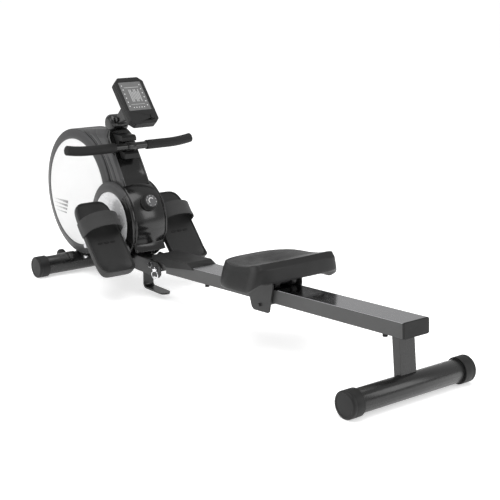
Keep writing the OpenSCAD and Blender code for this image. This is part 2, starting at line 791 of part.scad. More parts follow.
module footplate(side)
  color([0.20, 0.20, 0.20]) on_foot(side) difference() {
    union() {
      translate([0, 0, foot_top - foot_skirt]) linear_extrude(foot_skirt) sole_plan(0);
      // heel cup
      intersection() {
        translate([0, 0, foot_top - 1]) linear_extrude(20) sole_plan(0);
        block([foot_l/2 - 48, -foot_w, 0], [foot_l, foot_w, 100]);
      }
      for (y = [-34, 34]) {
        bar_y(0, 0, foot_axle_r + 7, y - 5, y + 5);
        block([-12, y - 5, 0], [12, y + 5, foot_top - 4]);
      }
    }
    // hollow underside, heel cup and the row of drain slots
    difference() {
      translate([0, 0, foot_top - foot_skirt - 1]) linear_extrude(foot_skirt - 5) sole_plan(4);
      for (y = [-34, 34]) {
        bar_y(0, 0, foot_axle_r + 7, y - 5, y + 5);
        block([-12, y - 5, -1], [12, y + 5, foot_top]);
      }
    }
    translate([0, 0, foot_top]) linear_extrude(40) sole_plan(5);
    for (y = [-22, 0, 22]) block([8, y - 7, 0], [12, y + 7, 60]);
    bar_y(0, 0, foot_axle_r + run_gap, -80, 80);
  }
module left_footplate() footplate(-1);
module right_footplate() footplate(1);

// Wide strap that arches over the foot, fixed to both sides of the plate.
strap_arch_h = 46;
module foot_strap(side) {
  in = foot_w/2 + lay_gap;
  t = 3;
  color([0.09, 0.09, 0.09]) on_foot(side) rotate([90, 0, 90])
    translate([0, 0, -foot_l*0.25]) linear_extrude(54)
      polygon(concat(
        [[in + t, 22]],
        [for (a = [0 : 9 : 180]) [(in + t)*cos(a), foot_top + (strap_arch_h + t)*sin(a)]],
        [[-in - t, 22], [-in, 22]],
        [for (a = [180 : -9 : 0]) [in*cos(a), foot_top + strap_arch_h*sin(a)]],
        [[in, 22]]
      ));
}
module left_foot_strap() foot_strap(-1);
module right_foot_strap() foot_strap(1);

// ---------- rail ----------

module rail_tube()
  color([0.25, 0.25, 0.25]) difference() {
    union() {
      on_rail(0) difference() {
        block([rail_setback, -rail_y, -rail_h], [rail_end, rail_y, -top_plate_t]);
        block([rail_setback - 1, -rail_y + tube_wall, -rail_h + tube_wall],
              [rail_end + 1, rail_y - tube_wall, -top_plate_t - tube_wall]);
      }
      // two tongues that reach forward to the hinge, on a cross plate in the tube
      both_sides() plate_xz(tongue_y, tongue_y + tongue_t)
        translate([hinge_x, hinge_z]) rotate(rail_slope) {
          circle(r = 13);
          translate([0, -11]) square([rail_setback + 70, 22]);
        }
      on_rail(0) block([rail_setback + 4, -rail_y + 1, -rail_h + 1],
                       [rail_setback + 9, rail_y - 1, -top_plate_t - 1]);
    }
    bar_y(hinge_x, hinge_z, hinge_r + run_gap, -60, 60);
    // hook that drops over the lock pin as the rail comes down
    bar_y(pin_x, pin_z, pin_r + 0.6, -60, 60);
    translate([pin_x, 0, pin_z]) rotate([0, 22, 0])
      block([-pin_r - 1.2, -60, -30], [pin_r + 1.2, 60, 0]);
  }

// Polished running plate on top of the tube.
module rail_top_plate()
  color([0.75, 0.75, 0.76]) on_rail(0)
    block([rail_setback, -rail_y, -top_plate_t], [rail_end, rail_y, 0]);

module rail_end_cap()
  color([0.08, 0.08, 0.08]) on_rail(0) {
    block([rail_end, -rail_y - 1, -rail_h - 1], [rail_end + 5, rail_y + 1, 1]);
    block([rail_end - 20, -rail_y + tube_wall + lay_gap, -rail_h + tube_wall + lay_gap],
          [rail_end, rail_y - tube_wall - lay_gap, -top_plate_t - tube_wall - lay_gap]);
  }

// Plastic cover over the hinge end of the rail, cut slanting at its rear.
cover_end = 240;
cover_front = 8;
cover_h = 12;
module rail_cover()
  color([0.07, 0.07, 0.07]) on_rail(0) difference() {
    translate([0, rail_y + 3, 0]) rotate([90, 0, 0]) linear_extrude(rail_w + 6)
      polygon([
        [cover_front, -4], [cover_front, cover_h - 4], [cover_front + 6, cover_h],
        [cover_end - 36, cover_h], [cover_end, -6], [rail_setback + 4, -20],
        [rail_setback - 6, -12]
      ]);
    block([rail_setback - lay_gap, -rail_y - lay_gap, -60], [cover_end + 1, rail_y + lay_gap, lay_gap]);
    block([-1, -rail_y + 4, -60], [rail_setback, rail_y - 4, cover_h - 5]);
  }

// Rubber stops under the rail, in the path of the carriage's lower roller.
bumper_front = cover_end + 44;
bumper_rear = rail_end - 80;
bumper_h = 12;
module rail_bumpers()
  color([0.05, 0.05, 0.05]) for (s = [bumper_front, bumper_rear]) on_rail(s)
    for (y = [-28, 28]) translate([0, y, -rail_h - bumper_h]) {
      cylinder(h = bumper_h, r = 7);
      translate([0, 0, bumper_h - 2]) cylinder(h = 2, r = 9);
    }

module rear_post()
  color([0.16, 0.16, 0.16]) difference() {
    translate([rear_x - 7, 0, cap_r]) rotate([0, -7.2, 0]) difference() {
      block([-13, -28, 0], [13, 28, 260]);
      block([-10.5, -25.5, -1], [10.5, 25.5, 261]);
    }
    bar_y(rear_x, cap_r, stab_r, -40, 40);
    on_rail(0) block([0, -100, -rail_h], [rail_end + 100, 100, 300]);
  }

// Pivot bolt of the fold, with its hexagon head and nut.
module hinge_bolt()
  color([0.8, 0.8, 0.82]) {
    y = ear_y + plate_t;
    bar_y(hinge_x, hinge_z, hinge_r, -y - 1, y + 1);
    bar_y(hinge_x, hinge_z, 10.5, -y - 8, -y - lay_gap, 6);
    bar_y(hinge_x, hinge_z, 10.5, y + lay_gap, y + 9, 6);
  }

// Quick-release pin under the tongues, with its head and split ring.
ring_r = 13;
module lock_pin() {
  head_y = -ear_y - plate_t - lay_gap;
  color([0.85, 0.85, 0.86]) {
    bar_y(pin_x, pin_z, pin_r, head_y - 2, ear_y + plate_t + 9);
    bar_y(pin_x, pin_z, 8, head_y - 12, head_y);
    translate([pin_x, head_y - 8, pin_z - 8 - ring_r + 2]) rotate([90, 0, 15])
      rotate_extrude() translate([ring_r, 0]) circle(r = 1.2, $fn = 24);
  }
}

// ---------- seat ----------

// Four rounded corners of a slab of the seat, from x0 to x1 and w wide, at height z.
module seat_slab(x0, x1, w, z, t, r)
  for (x = [x0 + r, x1 - r], y = [-w/2 + r, w/2 - r])
    translate([x, y, z]) cylinder(h = t, r = r, $fn = 32);

// Moulded seat pad: side walls that hang lower than the rear, and a hollow underside.
module seat_cushion()
  color([0.09, 0.09, 0.09]) on_rail(seat_pos) difference() {
    hull() {
      seat_slab(-seat_d/2, seat_d/2, seat_w, seat_rim, 16, 14);
      seat_slab(-seat_d/2 + 40, seat_d/2 - 60, seat_w - 4, seat_low, 4, 20);
      seat_slab(-seat_d/2 + 6, -seat_d/2 + 46, seat_w*0.6, seat_front_top - 4, 4, 12);
      seat_slab(seat_d/2 - 52, seat_d/2 - 10, seat_w - 20, seat_top - 6, 6, 12);
    }
    block([-seat_d, -seat_w/2 + 34, -1], [seat_d, seat_w/2 - 34, base_top + lay_gap]);
  }

// Plate in the pad's hollow that the carriage is bolted to.
module seat_base()
  color([0.13, 0.13, 0.13]) on_rail(seat_pos) hull()
    seat_slab(-seat_d/2 + 26, seat_d/2 - 22, seat_w - 80, base_top - 10, 10, 18);

// Side plate of the carriage: wide under the seat, narrow below the rail.
module side_plate_outline()
  polygon([
    [-58, carriage_top], [60, carriage_top], [62, 6], [42, -rail_h - 26],
    [36, -rail_h - 30], [-28, -rail_h - 30], [-38, -rail_h - 22], [-56, -2]
  ]);

// Steel carriage that straddles the rail and carries the roller axles.
module carriage_frame() {
  axle_z = roller_r + lay_gap;
  under_z = -rail_h - under_r - lay_gap;
  color([0.20, 0.20, 0.20]) on_rail(seat_pos) difference() {
    union() {
      both_sides() plate_xz(side_y, side_y + side_t) side_plate_outline();
      block([-58, -side_y - side_t, carriage_top - 4], [60, side_y + side_t, carriage_top]);
      for (x = [-roller_dx, roller_dx])
        bar_y(x, axle_z, roller_axle_r - 1, -side_y - 1, side_y + 1);
      bar_y(0, under_z, roller_axle_r, -side_y - side_t - 6, side_y + side_t + 6);
    }
    for (x = [-roller_dx, roller_dx]) bar_y(x, axle_z, roller_r + 1.5, -side_y + 1, side_y - 1);
  }
  // axles of the upper rollers
  color([0.7, 0.7, 0.72]) on_rail(seat_pos) for (x = [-roller_dx, roller_dx])
    bar_y(x, axle_z, roller_axle_r - 1, -side_y - 1, side_y + 1);
}

// A pair of wheels on a common sleeve, turning on an axle at (x, z).
module roller(x, z, r, y_mid, half_w, bore)
  color([0.88, 0.88, 0.86]) on_rail(seat_pos) {
    both_sides() tube_y(x, z, r, bore, y_mid - half_w, y_mid + half_w);
    tube_y(x, z, bore + 2.5, bore, -y_mid + half_w - 1, y_mid - half_w + 1);
  }
module front_roller()
  roller(-roller_dx, roller_r + lay_gap, roller_r, 30, 9, roller_axle_r - 1 + run_gap);
module rear_roller()
  roller(roller_dx, roller_r + lay_gap, roller_r, 30, 9, roller_axle_r - 1 + run_gap);
module lower_roller()
  roller(0, -rail_h - under_r - lay_gap, under_r, 32, 9, roller_axle_r + run_gap);

// ---------- console ----------

// Face of the console: a rectangle with its corners cut off.
module face_outline(in) {
  w = console_w/2 - in;
  h = console_h/2 - in;
  c = corner_cut - 0.586*in;
  polygon([
    [w, h - c], [w - c, h], [-w + c, h], [-w, h - c],
    [-w, -h + c], [-w + c, -h], [w - c, -h], [w, -h + c]
  ]);
}

// Slab of an outline drawn on the console's face, from depth x0 to x1.
module face_slab(x0, x1)
  on_console() translate([x0, 0, 0]) rotate([90, 0, 90]) linear_extrude(x1 - x0) children();

module console_back()
  color([0.11, 0.11, 0.11]) {
    difference() {
      face_slab(-console_t, -9) face_outline(0);
      face_slab(-console_t + 3, -8) face_outline(3);
    }
    // foot of the tilting arm, moulded on the back
    on_console() block([-console_t - 4, -11, -42], [-console_t + 1, 11, 8]);
  }

module console_front()
  color([0.12, 0.12, 0.12]) difference() {
    face_slab(-9 + lay_gap/3, 0) face_outline(0);
    face_slab(-10, -3) face_outline(3);
    face_slab(-10, 1) translate([0, screen_z]) square([screen_w, screen_h], center = true);
    on_console() translate([-10, 34, -console_h/2 + 24]) rotate([0, 90, 0]) cylinder(h = 20, r = 8.3);
  }

// Screen behind the front's window.
module console_display()
  color([0.66, 0.68, 0.68])
    face_slab(-6, -1.5) translate([0, screen_z])
      square([screen_w - 2*lay_gap, screen_h - 2*lay_gap], center = true);

module console_button()
  color([0.04, 0.04, 0.04]) on_console()
    translate([-5, 34, -console_h/2 + 24]) rotate([0, 90, 0]) {
      cylinder(h = 6.6, r = 7.9);
      translate([0, 0, -1]) cylinder(h = 1.2, r = 10);
    }

// Forked arm between the mast's lug and the console's back.
module console_bracket() {
  out = 13 + lay_gap;
  back_x = face_x - console_t*cos(face_tilt);
  back_z = face_z - console_t*sin(face_tilt);
  color([0.14, 0.14, 0.14]) difference() {
    union() {
      both_sides() plate_xz(out, out + 5) {
        translate([tilt_x, tilt_z]) circle(r = 12);
        polygon([
          [tilt_x - 7, tilt_z + 10], [back_x - 20, back_z + 14],
          [back_x + 26, back_z - 32], [tilt_x + 5, tilt_z - 11]
        ]);
      }
      on_console() block([-console_t - 10, -out - 5, -42], [-console_t - 4 - lay_gap, out + 5, 8]);
      bar_y(tilt_x, tilt_z, tilt_pin_r, -out - 6, out + 6);
      bar_y(tilt_x, tilt_z, 8, -out - 10, -out - 5, 6);
      bar_y(tilt_x, tilt_z, 8, out + 5, out + 10, 6);
    }
    on_console() block([-console_t - 4 - lay_gap, -60, -90], [60, 60, 120]);
  }
}

front_stabilizer_tube();
front_stabilizer_caps();
stabilizer_bolts();
wheel_brackets();
left_transport_wheel();
right_transport_wheel();
main_frame();
support_foot();
left_housing_shell();
right_housing_shell();
disc_inlays();
left_drum_cover();
right_drum_cover();
drum_inlays();
centre_cover();
column_cover();
column_cap();
handle_rest();
tension_knob();
flywheel();
flywheel_axle();
bearings();
drive_belt();
drive_pulley();
strap_spool();
recoil_spring();
strap_idler();
brake_arm();
brake_magnets();
inner_strap();
pull_strap();
handlebar_tube();
handlebar_grips();
strap_clip();
pedal_axle();
left_footplate();
right_footplate();
left_foot_strap();
right_foot_strap();
rail_tube();
rail_top_plate();
rail_end_cap();
rail_cover();
rail_bumpers();
rear_post();
rear_stabilizer_tube();
rear_stabilizer_caps();
hinge_bolt();
lock_pin();
seat_cushion();
seat_base();
carriage_frame();
front_roller();
rear_roller();
lower_roller();
console_bracket();
console_back();
console_front();
console_display();
console_button();
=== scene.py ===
# Folding magnetic rowing machine. The visible mouldings, the seat pad, the foot straps and the bar are
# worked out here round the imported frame; the metal parts keep their own solids and get soft edges.
import math

import bmesh
import bpy
import numpy as np
from mathutils import Matrix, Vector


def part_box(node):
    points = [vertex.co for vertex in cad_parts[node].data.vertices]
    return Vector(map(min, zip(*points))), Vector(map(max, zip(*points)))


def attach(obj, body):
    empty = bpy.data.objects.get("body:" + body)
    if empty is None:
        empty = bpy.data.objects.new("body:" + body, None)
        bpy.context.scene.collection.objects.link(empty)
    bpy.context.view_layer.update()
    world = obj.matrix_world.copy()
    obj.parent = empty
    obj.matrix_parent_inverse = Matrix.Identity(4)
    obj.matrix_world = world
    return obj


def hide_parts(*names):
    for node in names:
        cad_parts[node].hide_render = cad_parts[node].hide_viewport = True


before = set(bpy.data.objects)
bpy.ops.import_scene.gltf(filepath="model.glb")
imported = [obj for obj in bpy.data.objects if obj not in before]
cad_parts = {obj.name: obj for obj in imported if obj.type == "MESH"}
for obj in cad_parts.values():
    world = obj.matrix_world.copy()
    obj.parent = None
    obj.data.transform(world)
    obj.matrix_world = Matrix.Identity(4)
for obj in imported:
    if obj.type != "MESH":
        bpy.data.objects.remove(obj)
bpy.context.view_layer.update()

# ---------- the studio: camera, floor and lamps ----------
# A long lens stands behind the rower, to one side and a little above the seat. The floor is a plain white
# sweep that glows a little, and three large soft lamps give the gloss covers their long reflections.
turn, dip, roll = math.radians(51.9), math.radians(-14.4), math.radians(0.4)
ahead = np.array([-math.sin(turn) * math.cos(dip), math.cos(turn) * math.cos(dip), math.sin(dip)])
level = np.array([math.cos(turn), math.sin(turn), 0.0])
upward = np.cross(level, ahead)
side_axis = math.cos(roll) * level + math.sin(roll) * upward
top_axis = -math.sin(roll) * level + math.cos(roll) * upward
camera_data = bpy.data.cameras.new("camera")
camera = bpy.data.objects.new("camera", camera_data)
bpy.context.scene.collection.objects.link(camera)
camera.matrix_world = Matrix([
    [side_axis[0], top_axis[0], -ahead[0], 2.802],
    [side_axis[1], top_axis[1], -ahead[1], -2.025],
    [side_axis[2], top_axis[2], -ahead[2], 1.104],
    [0, 0, 0, 1]])
camera_data.lens = 82.1
camera_data.sensor_width = 36
bpy.context.scene.camera = camera

floor_mesh = bpy.data.meshes.new("floor")
floor_mesh.from_pydata([(-30, -30, 0), (30, -30, 0), (30, 30, 0), (-30, 30, 0)], [], [(0, 1, 2, 3)])
floor = bpy.data.objects.new("floor", floor_mesh)
bpy.context.scene.collection.objects.link(floor)
floor_paint = bpy.data.materials.new("floor_paint")
floor_paint.use_nodes = True
floor_shader = floor_paint.node_tree.nodes["Principled BSDF"]
for key, value in (("Base Color", (0.95, 0.95, 0.95, 1)), ("Roughness", 0.9), ("Emission Color", (1, 1, 1, 1)),
                   ("Emission Strength", 0.50)):
    floor_shader.inputs[key].default_value = value
floor_mesh.materials.append(floor_paint)

studio = bpy.data.worlds.new("studio")
studio.use_nodes = True
air = studio.node_tree.nodes["Background"]
air.inputs["Color"].default_value = (1, 1, 1, 1)
# the air is white to the camera, and lights the machine with about half that strength
ray = studio.node_tree.nodes.new("ShaderNodeLightPath")
glow = studio.node_tree.nodes.new("ShaderNodeMapRange")
glow.inputs["To Min"].default_value, glow.inputs["To Max"].default_value = 0.55, 1.0
studio.node_tree.links.new(ray.outputs["Is Camera Ray"], glow.inputs["Value"])
studio.node_tree.links.new(glow.outputs["Result"], air.inputs["Strength"])
bpy.context.scene.world = studio
bpy.context.scene.view_settings.view_transform = "Standard"


def soft_lamp(name, place, target, size, power):
    """A square area lamp at place that faces target."""
    data = bpy.data.lights.new(name, "AREA")
    data.shape, data.size, data.energy = "SQUARE", size, power
    lamp = bpy.data.objects.new(name, data)
    bpy.context.scene.collection.objects.link(lamp)
    back = np.array(place, float) - np.array(target, float)
    back /= np.linalg.norm(back)
    across = np.cross([0, 0, 1], back)
    across /= np.linalg.norm(across)
    over = np.cross(back, across)
    lamp.matrix_world = Matrix([[across[i], over[i], back[i], place[i]] for i in range(3)] + [[0, 0, 0, 1]])


soft_lamp("lamp_over", (0.4, -0.6, 3.6), (0, 0, 0.3), 3.4, 95)
soft_lamp("lamp_left", (-1.6, -3.2, 1.8), (-0.3, 0, 0.4), 1.8, 16)
soft_lamp("lamp_rear", (3.0, 1.8, 1.6), (0, 0, 0.3), 1.6, 22)


# ---------- finishes shared by many pieces ----------
# Shader groups: they hand out masks, heights and colours only, each placed in a material with its own
# values. Scales are in features per metre, because every pattern reads Object coordinates.
def effect_group(name, inputs, outputs):
    """A new shader node group with float inputs {name: default} and outputs (name, kind)."""
    group = bpy.data.node_groups.new(name, "ShaderNodeTree")
    group.interface.new_socket("Vector", in_out="INPUT", socket_type="NodeSocketVector")
    for key, value in inputs.items():
        socket = group.interface.new_socket(key, in_out="INPUT", socket_type="NodeSocketFloat")
        socket.default_value = value
    for key, kind in outputs:
        group.interface.new_socket(key, in_out="OUTPUT", socket_type=kind)
    return group, group.nodes.new("NodeGroupInput"), group.nodes.new("NodeGroupOutput")


def noise_in(group, scale, detail, rough=0.5):
    """A noise texture node inside a group or material, fed by nothing yet."""
    node = group.nodes.new("ShaderNodeTexNoise")
    node.inputs["Scale"].default_value = scale
    node.inputs["Detail"].default_value = detail
    node.inputs["Roughness"].default_value = rough
    return node


def sum_in(group, operation, a, b):
    """A math node; a and b are sockets or numbers."""
    node = group.nodes.new("ShaderNodeMath")
    node.operation = operation
    for slot, value in zip(node.inputs, (a, b)):
        if isinstance(value, (int, float)):
            slot.default_value = value
        else:
            group.links.new(value, slot)
    return node.outputs[0]


# Moulded grain: fine pebbles with a broader drift, for textured plastic, powder coat and rubber.
grain_group, grain_in, grain_out = effect_group(
    "moulded_grain", {"Grain": 900.0, "Drift": 14.0}, [("Height", "NodeSocketFloat"), ("Drift", "NodeSocketFloat")])
pebble = grain_group.nodes.new("ShaderNodeTexVoronoi")
pebble.feature = "SMOOTH_F1"
fine = noise_in(grain_group, 900, 3)
broad = noise_in(grain_group, 14, 4, 0.6)
grain_group.links.new(grain_in.outputs["Vector"], pebble.inputs["Vector"])
grain_group.links.new(grain_in.outputs["Vector"], fine.inputs["Vector"])
grain_group.links.new(grain_in.outputs["Vector"], broad.inputs["Vector"])
grain_group.links.new(grain_in.outputs["Grain"], pebble.inputs["Scale"])
grain_group.links.new(sum_in(grain_group, "MULTIPLY", grain_in.outputs["Grain"], 2.3), fine.inputs["Scale"])
grain_group.links.new(grain_in.outputs["Drift"], broad.inputs["Scale"])
height = sum_in(grain_group, "ADD", sum_in(grain_group, "MULTIPLY", pebble.outputs["Distance"], 0.7),
                sum_in(grain_group, "MULTIPLY", fine.outputs["Fac"], 0.5))
grain_group.links.new(height, grain_out.inputs["Height"])
grain_group.links.new(broad.outputs["Fac"], grain_out.inputs["Drift"])

# Handling marks: sparse thin scratches and wiped smudges, as a mask from 0 to 1.
marks_group, marks_in, marks_out = effect_group(
    "handling_marks", {"Smudge": 9.0, "Scratch": 60.0},
    [("Smudge", "NodeSocketFloat"), ("Scratch", "NodeSocketFloat")])
smudge = noise_in(marks_group, 9, 5, 0.65)
marks_group.links.new(marks_in.outputs["Vector"], smudge.inputs["Vector"])
marks_group.links.new(marks_in.outputs["Smudge"], smudge.inputs["Scale"])
smudge_ramp = marks_group.nodes.new("ShaderNodeMapRange")
smudge_ramp.inputs["From Min"].default_value = 0.45
smudge_ramp.inputs["From Max"].default_value = 0.72
marks_group.links.new(smudge.outputs["Fac"], smudge_ramp.inputs["Value"])
marks_group.links.new(smudge_ramp.outputs["Result"], marks_out.inputs["Smudge"])
stretch = marks_group.nodes.new("ShaderNodeMapping")
stretch.inputs["Rotation"].default_value = (0.3, 0.5, 0.4)
stretch.inputs["Scale"].default_value = (0.06, 1.0, 1.0)
marks_group.links.new(marks_in.outputs["Vector"], stretch.inputs["Vector"])
hair = noise_in(marks_group, 60, 6, 0.7)
marks_group.links.new(stretch.outputs["Vector"], hair.inputs["Vector"])
marks_group.links.new(marks_in.outputs["Scratch"], hair.inputs["Scale"])
hair_ramp = marks_group.nodes.new("ShaderNodeMapRange")
hair_ramp.inputs["From Min"].default_value = 0.66
hair_ramp.inputs["From Max"].default_value = 0.74
marks_group.links.new(hair.outputs["Fac"], hair_ramp.inputs["Value"])
marks_group.links.new(hair_ramp.outputs["Result"], marks_out.inputs["Scratch"])

# Brushed lines: noise drawn out along X, for turned and polished steel.
brush_group, brush_in, brush_out = effect_group(
    "brushed_lines", {"Lines": 700.0}, [("Height", "NodeSocketFloat")])
draw_out = brush_group.nodes.new("ShaderNodeMapping")
draw_out.inputs["Scale"].default_value = (0.012, 1.0, 1.0)
brush_group.links.new(brush_in.outputs["Vector"], draw_out.inputs["Vector"])
lines = noise_in(brush_group, 700, 4, 0.6)
brush_group.links.new(draw_out.outputs["Vector"], lines.inputs["Vector"])
brush_group.links.new(brush_in.outputs["Lines"], lines.inputs["Scale"])
brush_group.links.new(lines.outputs["Fac"], brush_out.inputs["Height"])

# Webbing weave: two crossed wave patterns on the band's own length and width. The second output is the same pattern,
# used to paint the weave's valleys darker: painted shade between the threads.
weave_group, weave_in, weave_out = effect_group(
    "webbing_weave", {"Ribs": 900.0}, [("Height", "NodeSocketFloat"), ("ValleyShade", "NodeSocketFloat")])
split = weave_group.nodes.new("ShaderNodeSeparateXYZ")
weave_group.links.new(weave_in.outputs["Vector"], split.inputs["Vector"])
rib_u = sum_in(weave_group, "SINE", sum_in(weave_group, "MULTIPLY", split.outputs["X"], weave_in.outputs["Ribs"]), 0)
rib_v = sum_in(weave_group, "SINE", sum_in(weave_group, "MULTIPLY", split.outputs["Y"], weave_in.outputs["Ribs"]), 0)
woven = sum_in(weave_group, "MULTIPLY", rib_u, rib_v)
thread = sum_in(weave_group, "ADD", sum_in(weave_group, "MULTIPLY", woven, 0.5), 0.5)
weave_group.links.new(thread, weave_out.inputs["Height"])
weave_group.links.new(thread, weave_out.inputs["ValleyShade"])


def new_finish(name, metallic=0.0, coat=0.0, coat_rough=0.05):
    """An empty procedural material; returns it with its tree, shader and Object coordinates."""
    finish = bpy.data.materials.new(name)
    finish.use_nodes = True
    tree = finish.node_tree
    shader = tree.nodes["Principled BSDF"]
    shader.inputs["Metallic"].default_value = metallic
    shader.inputs["Coat Weight"].default_value = coat
    shader.inputs["Coat Roughness"].default_value = coat_rough
    shader.inputs["IOR"].default_value = 1.45
    # plain plastics shine less than plated or coated pieces
    shader.inputs["Specular IOR Level"].default_value = 0.5 if metallic or coat else 0.3
    place = tree.nodes.new("ShaderNodeTexCoord")
    return finish, tree, shader, place.outputs["Object"]


def placed(tree, group, vector, **values):
    """A group node in a material, fed by vector and given its own values."""
    node = tree.nodes.new("ShaderNodeGroup")
    node.node_tree = group
    tree.links.new(vector, node.inputs["Vector"])
    for key, value in values.items():
        node.inputs[key].default_value = value
    return node


def colour_mix(tree, factor, low, high):
    """Mixes two colours by a socket."""
    node = tree.nodes.new("ShaderNodeMix")
    node.data_type = "RGBA"
    tree.links.new(factor, node.inputs["Factor"])
    for key, value in (("A", low), ("B", high)):
        socket = [s for s in node.inputs if s.name == key and s.type == "RGBA"][0]
        if hasattr(value, "is_linked"):
            tree.links.new(value, socket)
        else:
            socket.default_value = (*value, 1)
    return [s for s in node.outputs if s.type == "RGBA"][0]


def ranged(tree, value, low, high, start=0.0, end=1.0):
    """Maps a socket from start..end to low..high."""
    node = tree.nodes.new("ShaderNodeMapRange")
    node.inputs["From Min"].default_value, node.inputs["From Max"].default_value = start, end
    node.inputs["To Min"].default_value, node.inputs["To Max"].default_value = low, high
    tree.links.new(value, node.inputs["Value"])
    return node.outputs["Result"]


def bumped(tree, shader, height, strength, distance):
    """A bump on the shader's normal."""
    node = tree.nodes.new("ShaderNodeBump")
    node.inputs["Strength"].default_value = strength
    node.inputs["Distance"].default_value = distance
    tree.links.new(height, node.inputs["Height"])
    tree.links.new(node.outputs["Normal"], shader.inputs["Normal"])


def plain_finish(name, dark, light, rough, grain=900.0, bump=0.1, depth=0.0002, metallic=0.0, coat=0.0,
                 coat_rough=0.05):
    """Coloured moulding or paint: two close shades drifting into each other, grain, smudges and scratches."""
    finish, tree, shader, here = new_finish(name, metallic, coat, coat_rough)
    grain_node = placed(tree, grain_group, here, Grain=grain, Drift=11.0)
    marks = placed(tree, marks_group, here, Smudge=9.0, Scratch=70.0)
    shade = colour_mix(tree, grain_node.outputs["Drift"], dark, light)
    scratched = tuple(min(1.0, c * 1.25 + 0.012) for c in light)
    tree.links.new(colour_mix(tree, marks.outputs["Scratch"], shade, scratched), shader.inputs["Base Color"])
    tree.links.new(ranged(tree, marks.outputs["Smudge"], rough[0], rough[1]), shader.inputs["Roughness"])
    bumped(tree, shader, grain_node.outputs["Height"], bump, depth)
    return finish


def metal_finish(name, dark, light, rough, lines=700.0, bump=0.05):
    """Bare or plated metal with drawn-out lines."""
    finish, tree, shader, here = new_finish(name, 1.0)
    brushed = placed(tree, brush_group, here, Lines=lines)
    marks = placed(tree, marks_group, here, Smudge=12.0, Scratch=90.0)
    tree.links.new(colour_mix(tree, brushed.outputs["Height"], dark, light), shader.inputs["Base Color"])
    tree.links.new(ranged(tree, marks.outputs["Smudge"], rough[0], rough[1]), shader.inputs["Roughness"])
    bumped(tree, shader, brushed.outputs["Height"], bump, 0.00008)
    return finish


black_powder = plain_finish("black_powder_coat", (0.006, 0.006, 0.006), (0.011, 0.011, 0.011), (0.26, 0.36),
                            grain=1300.0, bump=0.06, coat=0.2, coat_rough=0.2)
grey_powder = plain_finish("grey_powder_coat", (0.026, 0.026, 0.026), (0.036, 0.036, 0.036), (0.32, 0.42),
                           grain=1300.0, bump=0.10)
rail_paint = plain_finish("rail_paint", (0.066, 0.066, 0.066), (0.082, 0.082, 0.082), (0.42, 0.50),
                          grain=1500.0, bump=0.06)
shell_plastic = plain_finish("shell_plastic", (0.052, 0.052, 0.053), (0.064, 0.064, 0.065), (0.36, 0.46),
                             grain=1500.0, bump=0.08)
cap_plastic = plain_finish("cap_plastic", (0.010, 0.010, 0.010), (0.016, 0.016, 0.016), (0.46, 0.58),
                           grain=1100.0, bump=0.16)
dark_plastic = plain_finish("dark_plastic", (0.010, 0.010, 0.010), (0.016, 0.016, 0.016), (0.40, 0.50),
                            grain=1300.0, bump=0.12)
gloss_black = plain_finish("gloss_black_cover", (0.004, 0.004, 0.004), (0.006, 0.006, 0.006), (0.20, 0.26),
                           grain=400.0, bump=0.004, coat=0.25, coat_rough=0.14)
white_panel = plain_finish("white_panel", (0.76, 0.76, 0.76), (0.82, 0.82, 0.82), (0.30, 0.40), grain=1500.0,
                           bump=0.03)
silver_panel = plain_finish("silver_panel", (0.60, 0.60, 0.61), (0.74, 0.74, 0.75), (0.26, 0.38), grain=1500.0,
                            bump=0.03, metallic=0.25)
tyre_rubber = plain_finish("tyre_rubber", (0.012, 0.012, 0.012), (0.020, 0.020, 0.020), (0.62, 0.74), grain=900.0,
                           bump=0.2)
foam_skin = plain_finish("foam_skin", (0.008, 0.008, 0.008), (0.015, 0.015, 0.015), (0.55, 0.68), grain=800.0,
                         bump=0.3, depth=0.0003)
nylon = plain_finish("roller_nylon", (0.020, 0.020, 0.020), (0.032, 0.032, 0.032), (0.35, 0.45),
                      grain=1200.0, bump=0.05)
chrome = metal_finish("chrome_plate", (0.80, 0.80, 0.82), (0.90, 0.90, 0.92), (0.06, 0.14), bump=0.01)
bare_steel = metal_finish("machined_steel", (0.42, 0.42, 0.44), (0.58, 0.58, 0.60), (0.28, 0.40))
running_steel = metal_finish("polished_running_plate", (0.30, 0.30, 0.31), (0.42, 0.42, 0.43), (0.16, 0.24),
                             lines=500.0, bump=0.02)

webbing = bpy.data.materials.new("strap_webbing")
webbing.use_nodes = True
web_tree = webbing.node_tree
web_shader = web_tree.nodes["Principled BSDF"]
web_shader.inputs["Sheen Weight"].default_value = 0.15
web_uv = web_tree.nodes.new("ShaderNodeUVMap")
web_uv.uv_map = "band"
web_weave = placed(web_tree, weave_group, web_uv.outputs["UV"], Ribs=2600.0)
# the band's colour darkens in the weave's valleys: painted shade between the threads
web_tree.links.new(colour_mix(web_tree, web_weave.outputs["ValleyShade"], (0.014, 0.014, 0.014), (0.034, 0.034, 0.034)),
                   web_shader.inputs["Base Color"])
web_tree.links.new(ranged(web_tree, web_weave.outputs["ValleyShade"], 0.7, 0.85), web_shader.inputs["Roughness"])
bumped(web_tree, web_shader, web_weave.outputs["Height"], 0.35, 0.0004)


def dress(node, finish, edge):
    """Gives a carried solid its finish, and rounds its sharp edges."""
    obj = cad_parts[node]
    obj.data.materials.clear()
    obj.data.materials.append(finish)
    if edge:
        weld = obj.modifiers.new("weld", "WELD")
        weld.merge_threshold = 0.00002
        bevel = obj.modifiers.new("edge", "BEVEL")
        bevel.width, bevel.segments, bevel.limit_method = edge, 2, "ANGLE"
        bevel.angle_limit = math.radians(38)
        bevel.use_clamp_overlap = True
        bevel.harden_normals = True
    return obj


